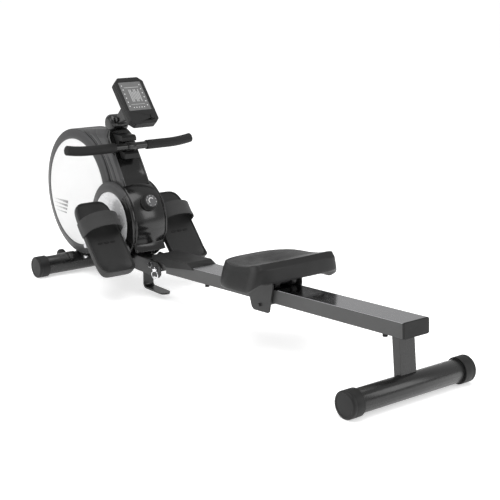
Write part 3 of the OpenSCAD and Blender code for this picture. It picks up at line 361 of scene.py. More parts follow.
def surface(name, points, finish, close_u=False, close_v=False, cap=False, flip=False, body="frame", stands_for=()):
    """A mesh from a grid of points (rows u, columns v), with optional closing round and flat end caps."""
    rows, cols = points.shape[:2]
    u = np.arange(rows if close_u else rows - 1)
    v = np.arange(cols if close_v else cols - 1)
    a = (u[:, None] * cols + v[None, :]).ravel()
    b = (u[:, None] * cols + (v[None, :] + 1) % cols).ravel()
    c = (((u[:, None] + 1) % rows) * cols + (v[None, :] + 1) % cols).ravel()
    d = (((u[:, None] + 1) % rows) * cols + v[None, :]).ravel()
    faces = np.stack([a, b, c, d], 1).tolist()
    if cap:
        faces += [list(range(cols))[::-1], [(rows - 1) * cols + i for i in range(cols)]]
    if flip:
        faces = [f[::-1] for f in faces]
    mesh = bpy.data.meshes.new(name)
    mesh.from_pydata(points.reshape(-1, 3).tolist(), [], faces)
    mesh.validate()
    piece = bpy.data.objects.new(name, mesh)
    bpy.context.scene.collection.objects.link(piece)
    mesh.materials.append(finish)
    mend(mesh)
    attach(piece, body)
    if stands_for:
        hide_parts(*stands_for)
    return piece


def mend(mesh):
    """Merges doubled points, turns every face outward and shades the mesh smooth below 35 degrees."""
    work = bmesh.new()
    work.from_mesh(mesh)
    bmesh.ops.remove_doubles(work, verts=work.verts, dist=1e-6)
    bmesh.ops.dissolve_degenerate(work, edges=work.edges, dist=1e-7)
    bmesh.ops.recalc_face_normals(work, faces=work.faces)
    work.to_mesh(mesh)
    work.free()
    mesh.polygons.foreach_set("use_smooth", [True] * len(mesh.polygons))
    mesh.set_sharp_from_angle(angle=math.radians(35))


def joined(name, objects):
    """Joins several pieces into the first and names it."""
    bpy.context.view_layer.update()
    with bpy.context.temp_override(active_object=objects[0], selected_editable_objects=objects,
                                   selected_objects=objects, object=objects[0]):
        bpy.ops.object.join()
    objects[0].name = name
    return objects[0]


def blocks(name, upper, lower, finish, body):
    """Many small blocks as one mesh: four corners above and four below for each."""
    corners = np.concatenate([upper, lower], 1).reshape(-1, 3)
    start = 8 * np.arange(len(upper))[:, None, None]
    pattern = np.array([[0, 1, 2, 3], [7, 6, 5, 4], [0, 4, 5, 1], [1, 5, 6, 2], [2, 6, 7, 3], [3, 7, 4, 0]])
    mesh = bpy.data.meshes.new(name)
    mesh.from_pydata(corners.tolist(), [], (start + pattern[None]).reshape(-1, 4).tolist())
    mesh.materials.append(finish)
    mend(mesh)
    piece = bpy.data.objects.new(name, mesh)
    bpy.context.scene.collection.objects.link(piece)
    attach(piece, body)
    return piece


def lathe_y(profile, x, z, y_sign, steps):
    """Points of a profile of (radius, y) turned about a line along Y through (x, z)."""
    profile = np.array(profile, float)
    angle = np.linspace(0, 2 * np.pi, steps, endpoint=False)
    return np.stack([x + profile[:, 0, None] * np.cos(angle),
                     np.repeat(profile[:, 1, None] * y_sign, steps, 1),
                     z + profile[:, 0, None] * np.sin(angle)], -1)


# Every sub-part starts from a finish here, and the sections below change or replace what they need.
for names, finish, edge in (
        (["front_stabilizer_tube", "rear_stabilizer_tube", "wheel_brackets", "support_foot", "rear_post",
          "console_bracket"], black_powder, 0.0012),
        (["main_frame", "carriage_frame", "brake_arm"], grey_powder, 0.0010),
        (["rail_tube"], rail_paint, 0.0022),
        (["rail_top_plate"], running_steel, 0.0005),
        (["rail_end_cap", "rail_cover"], cap_plastic, 0.0040),
        (["handle_rest", "seat_base", "drive_pulley", "strap_spool", "strap_idler"], dark_plastic, 0.0015),
        (["stabilizer_bolts", "hinge_bolt", "lock_pin", "brake_magnets"], chrome, 0.0005),
        (["flywheel", "flywheel_axle", "bearings", "recoil_spring", "pedal_axle"], bare_steel, 0.0),
        (["drive_belt", "rail_bumpers"], tyre_rubber, 0.0),
        (["inner_strap"], foam_skin, 0.0),
        (["front_roller", "rear_roller", "lower_roller"], nylon, 0.0008),
        (["strap_clip", "handlebar_tube"], black_powder, 0.0008),
        (["left_transport_wheel", "right_transport_wheel"], tyre_rubber, 0.0015),
        (["console_back", "console_front", "console_button"], dark_plastic, 0.0025)):
    for node_name in names:
        dress(node_name, finish, edge)

# ---------- floor stabilizer caps ----------
# Four moulded end caps slip over the tube ends: a plain sleeve, a shallow groove, then a domed end with a
# softened rim and a small flat to stand on.
cap_radius, cap_length, cap_drop, tube_half = 0.0375, 0.040, 0.0006, 0.223


def cap_points(x, side):
    """A cap's outside: a profile of radius against length turned about Y, with its underside cut level."""
    half = tube_half
    profile = [(0.0332, half - cap_length), (0.0366, half - cap_length), (0.0374, half - cap_length + 0.001),
               (cap_radius, half - 0.030), (cap_radius, half - 0.0142), (0.0372, half - 0.0132),
               (0.0372, half - 0.0112), (cap_radius, half - 0.0102), (cap_radius, half - 0.005),
               (0.0370, half - 0.0025), (0.0355, half - 0.0008), (0.0335, half), (0.0300, half - 0.0002),
               (0.0290, half - 0.0012), (0.0280, half - 0.0012), (0.0140, half - 0.0008), (0.0002, half - 0.0006)]
    points = lathe_y(profile, x, cap_radius - cap_drop, side, 96)
    points[..., 2] = np.maximum(points[..., 2], 0.0)
    return points


for stem, x_mid, owner in (("front", -0.723, "frame"), ("rear", 0.8825, "rail")):
    halves = [surface(f"{stem}_cap_{word}", cap_points(x_mid, side), cap_plastic, close_v=True, cap=True, body=owner)
              for word, side in (("left", -1), ("right", 1))]
    caps = joined(f"{stem}_end_caps", halves)
    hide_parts(f"{stem}_stabilizer_caps")

# ---------- flywheel housing ----------
# Two moulded half shells meet on the machine's middle plane. Each has a broad satin rim that rolls over
# into a shallow step, and a white panel with rows of small vents is let into it.
disc_x, disc_z, disc_r, disc_face = -0.697, 0.295, 0.223, 0.064
inlay_r = 0.189


def rolled_rim(inner, outer, face, wall):
    """Profile (radius, y) of a housing half: from the split line out along the rim, over a rolled edge and
    down a slightly hollow face to the panel's step."""
    bend, start = 0.007, 0.0002
    angle = np.linspace(0, np.pi / 2, 9)
    roll_x = outer - bend + bend * np.cos(angle)
    roll_y = face - 0.006 - bend * 0.45 + bend * 0.45 * np.sin(angle)
    t = np.linspace(0, 1, 7)[1:]
    face_x = (outer - bend) + (inner + 0.0015 - outer + bend) * t
    face_y = (face - 0.006) + 0.006 * np.sin(t * np.pi / 2)
    return np.concatenate([[[outer - 0.004, start], [outer, start + 0.002]], np.stack([roll_x, roll_y], 1),
                           np.stack([face_x, face_y], 1),
                           [[inner, face - 0.0008], [inner - 0.0002, face - 0.004], [inner - 0.004, face - 0.0045],
                            [inner - 0.004, face - wall - 0.006], [outer - 0.012, face - wall - 0.010],
                            [outer - 0.006, face - wall - 0.022], [outer - 0.006, start]]])


def panel_profile(radius, face, dome):
    """Profile of a thin let-in panel: rim, softened edge and a face that domes by dome at the middle."""
    r = np.linspace(radius - 0.0016, 0.0003, 18)
    return np.concatenate([[[radius - 0.004, face - 0.0055], [radius, face - 0.0055], [radius, face - 0.0014],
                            [radius - 0.0005, face - 0.0006]],
                           np.stack([r, face - 0.0002 + dome * (1 - (r / radius) ** 2)], 1)])


discs, panels = [], []
for word, side in (("left", -1), ("right", 1)):
    rim = lathe_y(rolled_rim(inlay_r, disc_r, disc_face, 0.003), disc_x, disc_z, side, 192)
    discs.append(surface(f"disc_{word}", rim, shell_plastic, close_u=True, close_v=True))
    inlay = lathe_y(panel_profile(inlay_r - 0.0004, disc_face, -0.0006), disc_x, disc_z, side, 192)
    panels.append(surface(f"panel_{word}", inlay, white_panel, close_v=True, cap=True))
white_discs = joined("housing_panels", panels)
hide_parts("disc_inlays")

# Vents: four rows of upright near-black dashes at the panel's lower front, shrinking towards the front edge; the dark
# blocks are painted shade standing for the openings.
# Dashes that would reach past the panel are left out.
# near-black finish for the vent and slot openings: painted shade
opening_shade_black = plain_finish("opening_shade_black", (0.006, 0.006, 0.006), (0.012, 0.012, 0.012), (0.6, 0.7))
row, step = np.meshgrid(np.arange(4), np.arange(15), indexing="ij")
size = 1 - 0.062 * step
vent_x = disc_x - 0.068 - 0.0068 * step - 0.004 * row
vent_z = disc_z - 0.049 - 0.0135 * row
kept = np.hypot(vent_x - disc_x, vent_z - disc_z) < 0.176
vent_x, vent_z, size, row = vent_x[kept], vent_z[kept], size[kept], row[kept]
half_w = 0.0013 * size
half_h = (0.0052 - 0.0009 * row) * size
corner_x = np.stack([-half_w, half_w, half_w, -half_w], -1) + vent_x[..., None]
corner_z = np.stack([-half_h, -half_h, half_h, half_h], -1) + vent_z[..., None]
outside = np.concatenate([np.stack([corner_x, np.full_like(corner_x, side * (disc_face + 0.0001)), corner_z], -1)
                          for side in (-1, 1)])
inside = outside.copy()
inside[..., 1] -= 0.0012 * np.sign(inside[..., 1])
blocks("housing_vents", outside, inside, opening_shade_black, "frame")

# ---------- column ----------
# The column leans over the disc: two satin side walls with long grooves that follow the disc's rim, a gloss
# rear face with a hollow for the knuckles, and a rounded gloss cap.
lean = math.radians(33.4)
col_base = np.array([-0.407, 0.380])
col_up = np.array([-math.sin(lean), math.cos(lean)])
col_out = np.array([math.cos(lean), math.sin(lean)])


def rear_line(t):
    """Point on the column's rear face, t from its foot (0) to its top (1), as (x, z)."""
    return col_base + col_up * (-0.022 + 0.212 * t)[:, None]


def front_line(t):
    """Point on the line where the column meets the disc: an arc that rides just outside the rim, from the
    barrel to the top of the disc."""
    angle = np.radians(14 + 78 * t)
    return np.stack([disc_x + (disc_r - 0.002) * np.cos(angle), disc_z + (disc_r - 0.002) * np.sin(angle)], 1)


def column_wall(side):
    """One side wall: rows run up the column, columns run from the disc round the rear edge to the middle."""
    t = np.linspace(0, 1, 41)
    rear, front = rear_line(t) - col_out * 0.0002, front_line(t)
    top = np.clip((t - 0.80) / 0.20, 0, 1)
    half = 0.054 - 0.018 * top ** 2
    s = np.linspace(0, 1, 40)
    span = front[:, None, :] + (rear - front)[:, None, :] * (s ** 0.9)[None, :, None]
    # two long grooves beside the rim and one raised shoulder between them
    groove = (-0.0032 * np.exp(-((s - 0.20) / 0.022) ** 2) - 0.0026 * np.exp(-((s - 0.52) / 0.018) ** 2)
              + 0.0016 * np.exp(-((s - 0.36) / 0.10) ** 2))
    round_rear = 0.010 * np.clip((s - 0.86) / 0.14, 0, 1) ** 2.2
    round_front = 0.020 * np.clip((0.10 - s) / 0.10, 0, 1) ** 2
    y = half[:, None] + groove[None, :] - round_rear[None, :] - round_front[None, :]
    wall = np.stack([span[..., 0], side * y, span[..., 1]], -1)
    back = np.stack([np.repeat(rear[:, None, 0], 3, 1),
                     np.repeat(y[:, -1:], 3, 1) * side * np.array([0.98, 0.5, 0.02]),
                     np.repeat(rear[:, None, 1], 3, 1)], -1)
    back[..., 0] -= 0.010 * col_out[0]
    back[..., 2] -= 0.010 * col_out[1]
    start = wall[:, :1].copy()
    start[..., 1] = side * 0.0005
    return np.concatenate([start, wall, back], 1)


walls = [surface(f"column_wall_{word}", column_wall(side), shell_plastic, close_v=True, cap=True)
         for word, side in (("left", -1), ("right", 1))]
for word, disc, wall, node_name in (("left", discs[0], walls[0], "left_housing_shell"),
                                    ("right", discs[1], walls[1], "right_housing_shell")):
    shell = joined(f"housing_{word}", [disc, wall])
    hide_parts(node_name)


def column_face():
    """The gloss rear panel: across the width its edges roll forward, and up its length a wide hollow deepens
    below the handle's rest."""
    t = np.linspace(0, 1, 60)
    s = np.linspace(-1, 1, 49)
    line = rear_line(t)
    top = np.clip((t - 0.80) / 0.20, 0, 1)
    half = 0.0535 - 0.018 * top ** 2
    hollow = 0.007 * np.exp(-((t - 0.36) / 0.20) ** 4)[:, None] * (1 - np.abs(s) ** 4)[None, :] ** 1.5
    rolled = 0.009 * np.clip((np.abs(s) - 0.80) / 0.20, 0, 1) ** 2.4
    out = -hollow - rolled[None, :]
    x = line[:, None, 0] + out * col_out[0]
    z = line[:, None, 1] + out * col_out[1]
    y = half[:, None] * s[None, :]
    face = np.stack([x, y, z], -1)
    inner = face[:, ::-1].copy()
    inner[..., 0] -= 0.006 * col_out[0]
    inner[..., 2] -= 0.006 * col_out[1]
    inner[..., 1] *= 0.96
    return np.concatenate([face, inner], 1)


surface("column_face", column_face(), gloss_black, close_v=True, cap=True, stands_for=["column_cover"])

cap_x, cap_z = -0.520, 0.556


def capsule_profile(radius, half, bend):
    """Profile of a short roller shape with softly rounded ends, from one pole to the other."""
    a = np.linspace(0, np.pi / 2, 10)
    left = np.stack([radius - bend + bend * np.sin(a), -half + bend - bend * np.cos(a)], 1)
    right = left[::-1] * [1, -1]
    return np.concatenate([[[0.0003, -half]], left, right, [[0.0003, half]]])


surface("column_top", lathe_y(capsule_profile(0.030, 0.036, 0.016), cap_x, cap_z, 1, 72), gloss_black,
        close_v=True, cap=True, stands_for=["column_cap"])

# ---------- drum ----------
# The spool's housing: a gloss barrel crowned across its width, with a ring and a silver panel on each side.
# The ring is satin in front; its rear part takes the barrel's near-black gloss as a painted dark reflection on the one
# moulding, and the barrel runs down as a skirt over the rail's bracket.
drum_x, drum_z, drum_r = -0.453, 0.2325, 0.136
drum_face, panel_r, skirt_low = 0.073, 0.102, 0.1505


def drum_ring(side):
    """The ring: from the barrel's edge it rolls outward, then slopes in to the panel's step."""
    bend = np.linspace(0, np.pi / 2, 8)
    roll = np.stack([drum_r - 0.012 + 0.012 * np.cos(bend), drum_face - 0.010 + 0.0065 * np.sin(bend)], 1)
    t = np.linspace(0, 1, 6)[1:]
    slope = np.stack([drum_r - 0.012 - (drum_r - 0.012 - panel_r - 0.001) * t,
                      drum_face - 0.0035 + 0.0035 * np.sin(t * 1.57)], 1)
    profile = np.concatenate([[[drum_r - 0.004, 0.0602], [drum_r, 0.0608]], roll, slope,
                              [[panel_r, drum_face - 0.0006], [panel_r - 0.0002, drum_face - 0.004],
                               [panel_r - 0.004, drum_face - 0.0045], [panel_r - 0.004, 0.0625],
                               [drum_r - 0.010, 0.0602]]])
    return lathe_y(profile, drum_x, drum_z, side, 160)


for word, side in (("left", -1), ("right", 1)):
    ring_piece = surface(f"drum_ring_{word}", drum_ring(side), shell_plastic, close_u=True, close_v=True,
                         stands_for=[f"{word}_drum_cover"])
    # the rear part of the ring, from above the knob down to the rail, takes the barrel's gloss black: a painted dark
    # reflection on the satin ring
    ring_piece.data.materials.append(gloss_black)
    for face in ring_piece.data.polygons:
        bearing = math.degrees(math.atan2(face.center.z - drum_z, face.center.x - drum_x))
        face.material_index = 1 if -92 < bearing < 52 else 0
drum_inlay = panel_profile(panel_r - 0.0004, drum_face, -0.0004)
silver = joined("drum_panels", [
    surface(f"drum_panel_{word}", lathe_y(drum_inlay, drum_x, drum_z, side, 160), silver_panel, close_v=True, cap=True)
    for word, side in (("left", -1), ("right", 1))])
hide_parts("drum_inlays")


def barrel_skin():
    """Outline round the drum's rear, from the column's foot over the crown and down the skirt, carried across
    the width; the middle stands proud by the crown and the two edges roll under."""
    angle = np.radians(np.linspace(104, -24, 90))
    arc = np.stack([np.cos(angle), np.sin(angle)], 1)
    s = np.linspace(-1, 1, 61)
    crown = 0.008 * (1 - s ** 2) - 0.006 * np.clip((np.abs(s) - 0.90) / 0.10, 0, 1) ** 2
    # a shallow crease across the rear face below the knob
    crease = -0.0010 * np.exp(-((np.degrees(angle) + 3) / 2.6) ** 2)
    radius = drum_r + crown[None, :] + crease[:, None]
    x = drum_x + radius * arc[:, 0:1]
    z = drum_z + radius * arc[:, 1:2]
    y = np.repeat(0.0595 * s[None, :], len(angle), 0)
    over = np.stack([x, y, z], -1)
    # the skirt drops from the arc's last row straight down and slightly outward
    drop = np.linspace(0, 1, 14)[1:]
    last = over[-1]
    skirt = np.stack([last[None, :, 0] + (0.014 * drop ** 1.5)[:, None], np.repeat(last[None, :, 1], len(drop), 0),
                      last[None, :, 2] + ((skirt_low - last[:, 2])[None, :]) * drop[:, None]], -1)
    return np.concatenate([over, skirt], 0)


barrel = surface("barrel", barrel_skin(), gloss_black)
thick = barrel.modifiers.new("wall", "SOLIDIFY")
thick.thickness, thick.offset = 0.003, -1.0


def barrel_wall(side):
    """A flat side wall inside the ring, from the arc in to a smaller arc."""
    angle = np.radians(np.linspace(104, -38, 60))
    r = np.array([drum_r - 0.001, drum_r - 0.030, 0.104])
    x = drum_x + r[None, :] * np.cos(angle)[:, None]
    z = np.maximum(drum_z + r[None, :] * np.sin(angle)[:, None], skirt_low)
    return np.stack([x, np.full_like(x, side * 0.0590), z], -1)


for word, side in (("left", -1), ("right", 1)):
    wall = surface(f"barrel_side_{word}", barrel_wall(side), gloss_black)
    thin = wall.modifiers.new("wall", "SOLIDIFY")
    thin.thickness, thin.offset = 0.002, 0.0
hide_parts("centre_cover")

# ---------- tension dial ----------
# A deep black grip with a fluted edge, and a grey face that carries a ring of ticks and a curved mark.
knob_tilt = math.radians(32)
knob_out = np.array([math.cos(knob_tilt), 0, math.sin(knob_tilt)])
knob_up = np.array([-math.sin(knob_tilt), 0, math.cos(knob_tilt)])
knob_base = np.array([drum_x, 0, drum_z]) + knob_out * (drum_r + 0.008)


def on_knob(a, b, h):
    """Points of the knob's frame: a to the side, b up the face, h out of it."""
    return knob_base + a[..., None] * np.array([0, 1, 0]) + b[..., None] * knob_up + h[..., None] * knob_out


def knob_skin():
    """A stepped profile turned about the knob's axis, its grip pushed in and out by 24 flutes."""
    profile = np.array([[0.0290, 0.0006], [0.0290, 0.0055], [0.0280, 0.0068], [0.0262, 0.0072], [0.0260, 0.0085],
                        [0.0257, 0.0185], [0.0252, 0.0212], [0.0240, 0.0228], [0.0222, 0.0232], [0.0215, 0.0226]])
    turn_angle = np.linspace(0, 2 * np.pi, 192, endpoint=False)
    flute = 1 - 0.022 * (0.5 + 0.5 * np.cos(24 * turn_angle)) ** 2
    grip = ((profile[:, 1] > 0.008) & (profile[:, 1] < 0.0215))[:, None]
    r = profile[:, :1] * np.where(grip, flute[None, :], 1.0)
    return on_knob(r * np.cos(turn_angle), r * np.sin(turn_angle), np.repeat(profile[:, 1:], 192, 1))


knob_face = plain_finish("dial_grey", (0.085, 0.085, 0.087), (0.11, 0.11, 0.113), (0.35, 0.45), bump=0.05)
mark_white = plain_finish("mark_white", (0.72, 0.72, 0.72), (0.80, 0.80, 0.80), (0.4, 0.5), bump=0.02)
surface("dial_grip", knob_skin(), cap_plastic, close_v=True, cap=True, body="knob", stands_for=["tension_knob"])
ring = np.linspace(0, 2 * np.pi, 96, endpoint=False)
face_rows = np.array([[0.0214, 0.0222], [0.0212, 0.0230], [0.0150, 0.0233], [0.0080, 0.0234], [0.0004, 0.0234]])
surface("dial_face", on_knob(face_rows[:, :1] * np.cos(ring), face_rows[:, :1] * np.sin(ring),
                             np.repeat(face_rows[:, 1:], 96, 1)), knob_face, close_v=True, cap=True, body="knob")


def arc_mark(name, r0, r1, start, end):
    """A flat raised mark: a piece of a ring between two radii and two angles."""
    lift, thick = 0.0238, 0.0008
    a = np.radians(np.linspace(start, end, max(3, int(abs(end - start) / 6) + 2)))
    r = np.array([r0, r1, r1, r0])
    h = np.array([lift, lift, lift - thick, lift - thick])
    return surface(name, on_knob(r[None, :] * np.cos(a)[:, None], r[None, :] * np.sin(a)[:, None],
                                 np.repeat(h[None, :], len(a), 0)), mark_white, close_v=True, cap=True, body="knob")


marks = [arc_mark("dial_mark", 0.0085, 0.0108, 40, 220)]
marks += [arc_mark(f"dial_tick_{i}", 0.0165, 0.0192, 240 - 37.5 * i, 244 - 37.5 * i) for i in range(9)]
joined("dial_marks", marks)

# ---------- handle rest and handlebar ----------
# The bar lies in a moulded cradle. It is a steel tube bent up at both ends, with long foam sleeves and a
# clip at its middle that takes the strap.
bar_x, bar_z = -0.435, 0.486
bend_start, bar_half, bar_rise = 0.150, 0.2475, 0.009
bend_len = bar_half - bend_start - 0.00288
bend_r = (bend_len ** 2 + bar_rise ** 2) / (2 * bar_rise)


def bar_line(s):
    """Centre line of one half of the bar at a length s from the middle: straight, then a slow upward arc.
    Returns points and the direction across the tube in the Y-Z plane."""
    a = np.clip((s - bend_start) / bend_r, 0, None)
    y = np.where(s < bend_start, s, bend_start + bend_r * np.sin(a))
    z = bar_z + bend_r * (1 - np.cos(a))
    return y, z, a


def sleeve(side, s0, s1, radius, bend):
    """A tube skin round the bar between two lengths, its ends closed by a rounded edge of the given bend."""
    end = np.linspace(0, np.pi / 2, 8)
    lengths = np.concatenate([[s0], s0 + bend * (1 - np.cos(end)), np.linspace(s0 + bend, s1 - bend, 70)[1:-1],
                              s1 - bend * (1 - np.sin(end)), [s1]])
    radii = np.concatenate([[0.0003], radius - bend + bend * np.sin(end), np.full(68, radius),
                            radius - bend + bend * np.cos(end), [0.0003]])
    y, z, a = bar_line(lengths)
    w = np.linspace(0, 2 * np.pi, 48, endpoint=False)
    out_y = -np.sin(a)[:, None] * np.sin(w)[None, :]
    out_z = np.cos(a)[:, None] * np.sin(w)[None, :]
    return np.stack([bar_x + radii[:, None] * np.cos(w)[None, :],
                     side * (y[:, None] + radii[:, None] * out_y), z[:, None] + radii[:, None] * out_z], -1)


grip_start, grip_end, grip_radius = 0.060, bend_start + bend_r * math.asin(bend_len / bend_r), 0.016
grips = joined("bar_grips", [
    surface(f"grip_{word}", sleeve(side, grip_start, grip_end, grip_radius, 0.0035), foam_skin, close_v=True, cap=True,
            body="handle") for word, side in (("left", -1), ("right", 1))])
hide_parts("handlebar_grips")


def band(name, points, finish, body, stands_for, thickness):
    """A webbing band: a grid whose rows run along it, thickened outward, with a UV map in metres along it."""
    rows, cols = points.shape[:2]
    along = np.concatenate([[0], np.cumsum(np.linalg.norm(np.diff(points[:, cols // 2], axis=0), axis=1))])
    across = np.concatenate([[0], np.cumsum(np.linalg.norm(np.diff(points[rows // 2], axis=0), axis=1))])
    i, j = np.meshgrid(np.arange(rows - 1), np.arange(cols - 1), indexing="ij")
    quads = np.stack([i * cols + j, i * cols + j + 1, (i + 1) * cols + j + 1, (i + 1) * cols + j], -1).reshape(-1, 4)
    mesh = bpy.data.meshes.new(name)
    mesh.from_pydata(points.reshape(-1, 3).tolist(), [], quads.tolist())
    uv = mesh.uv_layers.new(name="band")
    uv.data.foreach_set("uv", np.stack([along[quads // cols], across[quads % cols]], -1).astype(np.float32).ravel())
    mesh.polygons.foreach_set("use_smooth", [True] * len(mesh.polygons))
    mesh.materials.append(finish)
    obj = bpy.data.objects.new(name, mesh)
    bpy.context.scene.collection.objects.link(obj)
    wall = obj.modifiers.new("wall", "SOLIDIFY")
    wall.thickness, wall.offset = thickness, 0.0
    edge = obj.modifiers.new("edge", "BEVEL")
    edge.width, edge.segments, edge.limit_method = thickness * 0.3, 2, "ANGLE"
    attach(obj, body)
    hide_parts(*stands_for)
    return obj


low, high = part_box("pull_strap")
xs, ys = np.linspace(low.x, high.x, 12), np.linspace(low.y, high.y, 9)
grid_x, grid_y = np.meshgrid(xs, ys, indexing="ij")
band("pull_band", np.stack([grid_x, grid_y, np.full_like(grid_x, (low.z + high.z) / 2)], -1), webbing, "frame",
     ["pull_strap"], 0.002)

# ---------- foot plates ----------
# Moulded plates that rock on the axle: a long sole with a raised edge, a broad toe, a curled heel lip, and a
# wide band that arches over the foot.
foot_slope = math.radians(48)
foot_len, foot_wide, foot_mid = 0.280, 0.134, 0.1455
toward_heel = np.array([math.cos(foot_slope), 0, -math.sin(foot_slope)])
out_of_sole = np.array([math.sin(foot_slope), 0, math.cos(foot_slope)])
foot_axle = np.array([-0.403, 0, 0.179])


def on_foot(side, a, b, h):
    """Points of a foot plate's frame: a towards the heel, b across, h out of the sole."""
    return (foot_axle + np.array([0, side * foot_mid, 0]) + a[..., None] * toward_heel
            + b[..., None] * np.array([0, 1, 0]) + h[..., None] * out_of_sole)


def sole_outline(inset, n=160):
    """Outline of the sole as a superellipse: nearly straight sides, a rounder toe and a squarer heel."""
    a = np.linspace(0, 2 * np.pi, n, endpoint=False)
    power = np.where(np.cos(a) < 0, 4.6, 6.5)
    c, s = np.abs(np.cos(a)) ** (2 / power), np.abs(np.sin(a)) ** (2 / power)
    return (np.sign(np.cos(a)) * c * (foot_len / 2 - inset), np.sign(np.sin(a)) * s * (foot_wide / 2 - inset))


def plate_skin(side):
    """Nested sole outlines at changing inset and height: underside, wall, rolled rim, then the tread. The
    heel's rim is lifted into a lip."""
    steps = [(0.030, 0.020), (0.010, 0.018), (0.004, 0.0185), (0.0008, 0.021), (0.0, 0.026), (0.0, 0.034),
             (0.0004, 0.0385), (0.0018, 0.0400), (0.0042, 0.0402), (0.0058, 0.0390), (0.0066, 0.0368),
             (0.010, 0.0358), (0.030, 0.0355), (0.060, 0.0352)]
    rings = []
    for inset, tall in steps:
        a, b = sole_outline(inset)
        heel = np.clip((a - (foot_len / 2 - 0.052)) / 0.052, 0, 1) ** 1.7
        lift = 0.019 * heel * (1 - np.clip((inset - 0.004) / 0.014, 0, 1)) * (tall > 0.03)
        toe = -0.004 * np.clip((-a - (foot_len / 2 - 0.060)) / 0.060, 0, 1) ** 2
        rings.append(on_foot(side, a, b, tall + lift + toe))
    return np.stack(rings)


foot_plastic = plain_finish("foot_plastic", (0.018, 0.018, 0.018), (0.026, 0.026, 0.026), (0.42, 0.54), grain=900.0,
                            bump=0.2, depth=0.0003)


def slot_blocks(name, side):
    """Three short raised slot rims set across the sole below the band, near-black down to a flat floor: painted shade
    for the slot openings.
    """
    out, a_mid = [], 0.020
    for k, b_mid in enumerate((-0.024, 0.0, 0.024)):
        w = np.linspace(0, 2 * np.pi, 24, endpoint=False)
        a = a_mid + 0.0030 * np.sign(np.sin(w)) * np.abs(np.sin(w)) ** 0.6
        b = b_mid + 0.0085 * np.sign(np.cos(w)) * np.abs(np.cos(w)) ** 0.6
        inner_a, inner_b = a_mid + (a - a_mid) * 0.72, b_mid + (b - b_mid) * 0.9
        rings = [on_foot(side, a, b, np.full(24, 0.0345)), on_foot(side, a, b, np.full(24, 0.0368)),
                 on_foot(side, inner_a, inner_b, np.full(24, 0.0368)),
                 on_foot(side, inner_a, inner_b, np.full(24, 0.0350))]
        out.append(surface(f"{name}_{k}", np.stack(rings), opening_shade_black, close_v=True, cap=True,
                           body="left_pedal" if side < 0 else "right_pedal"))
    return out


def hanger(side, b_mid):
    """A lug under the sole: a rounded strap that drops to the axle."""
    w = np.linspace(0, 2 * np.pi, 40, endpoint=False)
    a = 0.015 * np.cos(w)
    h = np.where(np.sin(w) > 0, 0.024, 0.015 * np.sin(w))
    return np.stack([on_foot(side, a, np.full(40, b_mid + d), h) for d in (-0.005, 0.005)])


for word, side in (("left", -1), ("right", 1)):
    owner = f"{word}_pedal"
    plate = surface(f"{word}_sole", plate_skin(side), foot_plastic, close_v=True, cap=True, body=owner)
    lugs = [surface(f"{word}_lug_{k}", hanger(side, b), foot_plastic, close_v=True, cap=True, body=owner)
            for k, b in enumerate((-0.034, 0.034))]
    plate = joined(f"{word}_foot_plate", [plate] + lugs)
    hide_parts(f"{word}_footplate")
    joined(f"{word}_slots", slot_blocks(f"{word}_slot", side))

    # the band's arch: half an ellipse over the foot, wider at its feet, running down both walls
    w = np.linspace(0, np.pi, 61)
    rise = np.concatenate([[0.022, 0.030], 0.040 + 0.0475 * np.sin(w) ** 0.9, [0.030, 0.022]])
    reach = np.concatenate([[1.0, 1.0], np.cos(w), [-1.0, -1.0]]) * (foot_wide / 2 + 0.0020)
    reach += 0.0012 * np.sin(np.linspace(0, np.pi * 3, 65))
    width = np.linspace(-0.0685, -0.0145, 15)
    lean_in = 0.006 * np.sin(np.linspace(0, np.pi, 65))
    a = width[None, :] - lean_in[:, None] * 0.6
    b = np.repeat(reach[:, None], 15, 1)
    h = np.repeat(rise[:, None], 15, 1) - 0.0010 * np.cos((width[None, :] + 0.0415) / 0.027 * np.pi)
    band(f"{word}_foot_band", on_foot(side, a, b, h), webbing, owner, [f"{word}_foot_strap"], 0.003)

# ---------- seat pad ----------
# A moulded foam pad with a leathery skin on a plastic base: a straight raised rear ridge with a bevel strip,
# a hollow middle, a rounded front and side wings that lean out and droop past the base.
seat_slope = math.radians(3.6)
along = np.array([math.cos(seat_slope), 0, math.sin(seat_slope)])
over = np.array([-math.sin(seat_slope), 0, math.cos(seat_slope)])
rail_origin = np.array([-0.245, 0, 0.147])
seat_mid = rail_origin + along * 0.580


def on_seat(a, b, h):
    """Points of the seat's frame: a rearward, b across, h above the rail's running surface."""
    return seat_mid + a[..., None] * along + b[..., None] * np.array([0, 1, 0]) + h[..., None] * over


seat_half_d, seat_half_w = 0.1205, 0.159


